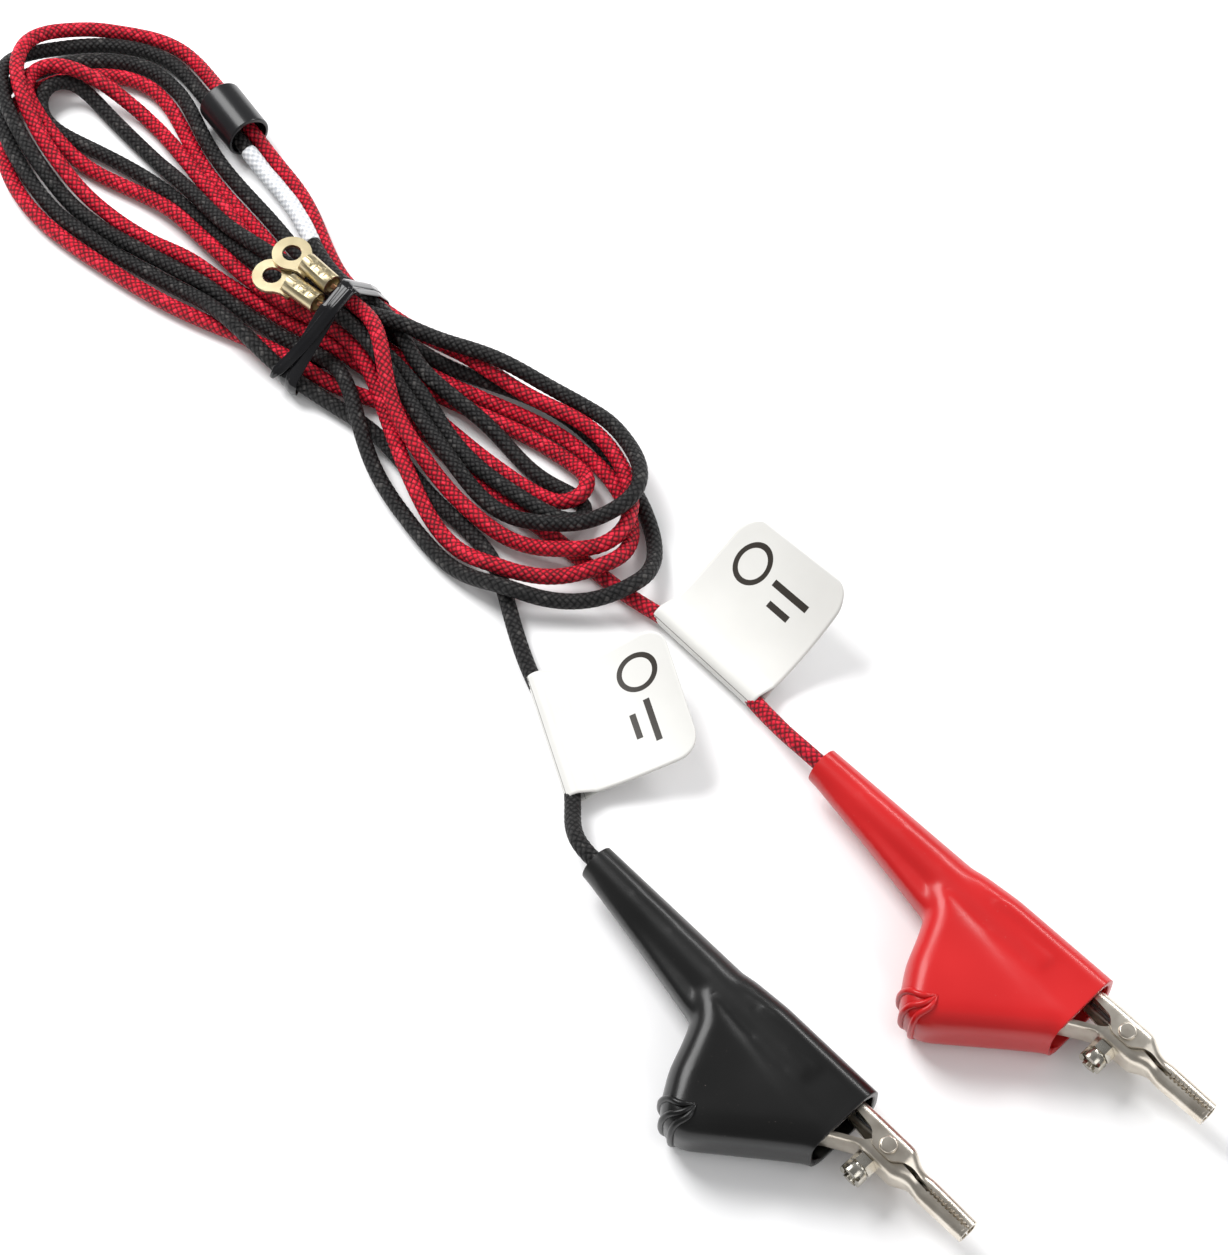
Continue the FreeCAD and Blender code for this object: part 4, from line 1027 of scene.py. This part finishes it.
def make_jaw(colour, kind, body):
    """Folded sheet steel half of a clip, with pressed teeth along both of its edges."""
    jaw = JAWS[kind]
    name = colour + "_" + kind + "_sheet"
    surface = jaw_surface(jaw["width"], jaw["back"], jaw["edge"], jaw["side"], jaw["teeth"])
    obj = closed_sheet(name, surface, STEEL - 0.04, surface[:, :, :2])
    for start, end, radius in jaw["holes"]:
        obj = drilled(obj, start, end, radius)
    matrix = clip_matrix(colour)
    obj.data.transform(Matrix.Translation(matrix.translation * MM) @ matrix.to_3x3().to_4x4())
    obj.name = name
    for polygon in obj.data.polygons:
        polygon.use_smooth = True
    obj.data.set_sharp_from_angle(angle=math.radians(38))
    stand_in(obj, "nickel_plate", colour + "_" + kind, body)


def make_spring(colour):
    """Torsion spring: coil round the rivet, and one leg along each half."""
    coil_r, pitch, turns, wire_r = 1.7, 0.85, 2.5, 0.29
    half = pitch * turns / 2
    route = [(-x, coil_r + 0.01 * x, -half) for x in np.arange(9, 0.2, -0.5)]
    for share in np.linspace(0, 1, 90):
        angle = math.pi / 2 - 2 * math.pi * turns * share
        route.append((coil_r * math.cos(angle), coil_r * math.sin(angle), pitch * turns * share - half))
    leg = np.array(((-0.5, -1.7), (-2, -1.7), (-3, -1.73), (-4, -1.9), (-5, -2.25), (-6, -2.8), (-9, -4.55)))
    route += [(x, np.interp(-x, -leg[:, 0], leg[:, 1]), half) for x in np.arange(-0.5, -9.01, -0.5)]
    line, _ = resample(np.array(route), 0.3)
    line = smooth_line(line, 2)
    obj = swept(colour + "_spring_wire", to_row(line, clip_matrix(colour)), wire_r, 12)
    dress(obj, "spring_steel")
    blend_with_jaws(obj, "_jaw_spring", colour)


# ---- the rest of the CAD pieces -------------------------------------------------------------
def dress_cad_nodes():
    """Materials and softened edges on the CAD nodes that stay visible."""
    slots = {sub["node"]: sub["material_slot"] for sub in frame["record"]["subparts"]}
    for node, obj in NODES.items():
        dress(obj, slots[node])
        if node.split("_", 1)[1] in ("ring_terminal", "test_post"):
            weld = obj.modifiers.new("weld", "WELD")
            weld.merge_threshold = 0.002 * MM
            bevel = obj.modifiers.new("bevel", "BEVEL")
            bevel.width = 0.12 * MM
            bevel.segments = 2
            bevel.limit_method = "ANGLE"
            bevel.angle_limit = math.radians(35)


# ---- stage, light and camera ---------------------------------------------------------------
def area_light(name, place, target, size, power):
    """Rectangular light at a place, turned to a target; in metres and watts."""
    data = bpy.data.lights.new(name, "AREA")
    data.shape = "RECTANGLE"
    data.size, data.size_y = size
    data.energy = power
    light = bpy.data.objects.new(name, data)
    light.location = place
    aim = Vector(target) - Vector(place)
    light.rotation_euler = aim.to_track_quat("-Z", "Y").to_euler()
    bpy.context.scene.collection.objects.link(light)
    return light


def set_floor():
    """Pale bench just below the part."""
    shader = Shader("floor")
    tone = shader.mix(shader.noise(8.0, 2.0), rgb(0.86, 0.86, 0.87), rgb(0.9, 0.9, 0.9))
    shader.set(Base_Color=tone, Roughness=0.7)
    half, drop = 1800.0, 0.4
    corners = [(-half, -half, 0), (half, -half, 0), (half, half, 0), (-half, half, 0)]
    floor = add_mesh("floor", corners, [[0, 1, 2, 3]])
    floor.location.z = -drop * MM
    floor.data.materials.append(shader.material)


def set_room():
    """Even white light, of which glossy surfaces see less."""
    world = bpy.data.worlds.new("studio")
    bpy.context.scene.world = world
    world.use_nodes = True
    tree = world.node_tree
    path = tree.nodes.new("ShaderNodeLightPath")
    level = tree.nodes.new("ShaderNodeMapRange")
    level.inputs["To Min"].default_value = ROOM_LIGHT
    level.inputs["To Max"].default_value = ROOM_GLOSS
    tree.links.new(path.outputs["Is Glossy Ray"], level.inputs["Value"])
    background = tree.nodes["Background"]
    tree.links.new(level.outputs["Result"], background.inputs["Strength"])
    background.inputs["Color"].default_value = rgb(1, 1, 1)
    bpy.context.scene.view_settings.view_transform = "Standard"


def set_lights():
    """Key light from behind on the left; most of it doesn't show in reflections."""
    middle = (0.04, -0.05, 0)
    key_place, key_size = (-0.34, 0.36, 0.62), (0.4, 0.4)
    area_light("key", key_place, middle, key_size, 3.4)
    soft = area_light("soft", key_place, middle, key_size, 5.1)
    soft.visible_glossy = False
    area_light("fill", (0.6, -0.5, 0.6), middle, (0.5, 0.5), 1.2)
    area_light("strip", (0.46, 0.3, 0.42), (0.08, -0.1, 0), (0.5, 0.1), 1.6)


def set_camera():
    """View from the front, 60 degrees down onto the middle of the part."""
    place, target = Vector((0.0554, -0.3655, 0.5196)), Vector((0.0554, -0.0655, 0))
    data = bpy.data.cameras.new("camera")
    data.lens = 90.4
    data.sensor_width = 36
    data.clip_start, data.clip_end = 0.01, 10
    camera = bpy.data.objects.new("camera", data)
    camera.location = place
    camera.rotation_euler = (target - place).to_track_quat("-Z", "Y").to_euler()
    bpy.context.scene.collection.objects.link(camera)
    bpy.context.scene.camera = camera


make_cords()
make_marker()
for name in COLOURS:
    make_label(name)
    make_boot(name)
    make_jaw(name, "fixed_jaw", "harness")
    make_jaw(name, "moving_jaw", name + "_moving_half")
    make_spring(name)
make_tie()
dress_cad_nodes()
set_floor()
set_room()
set_lights()
set_camera()
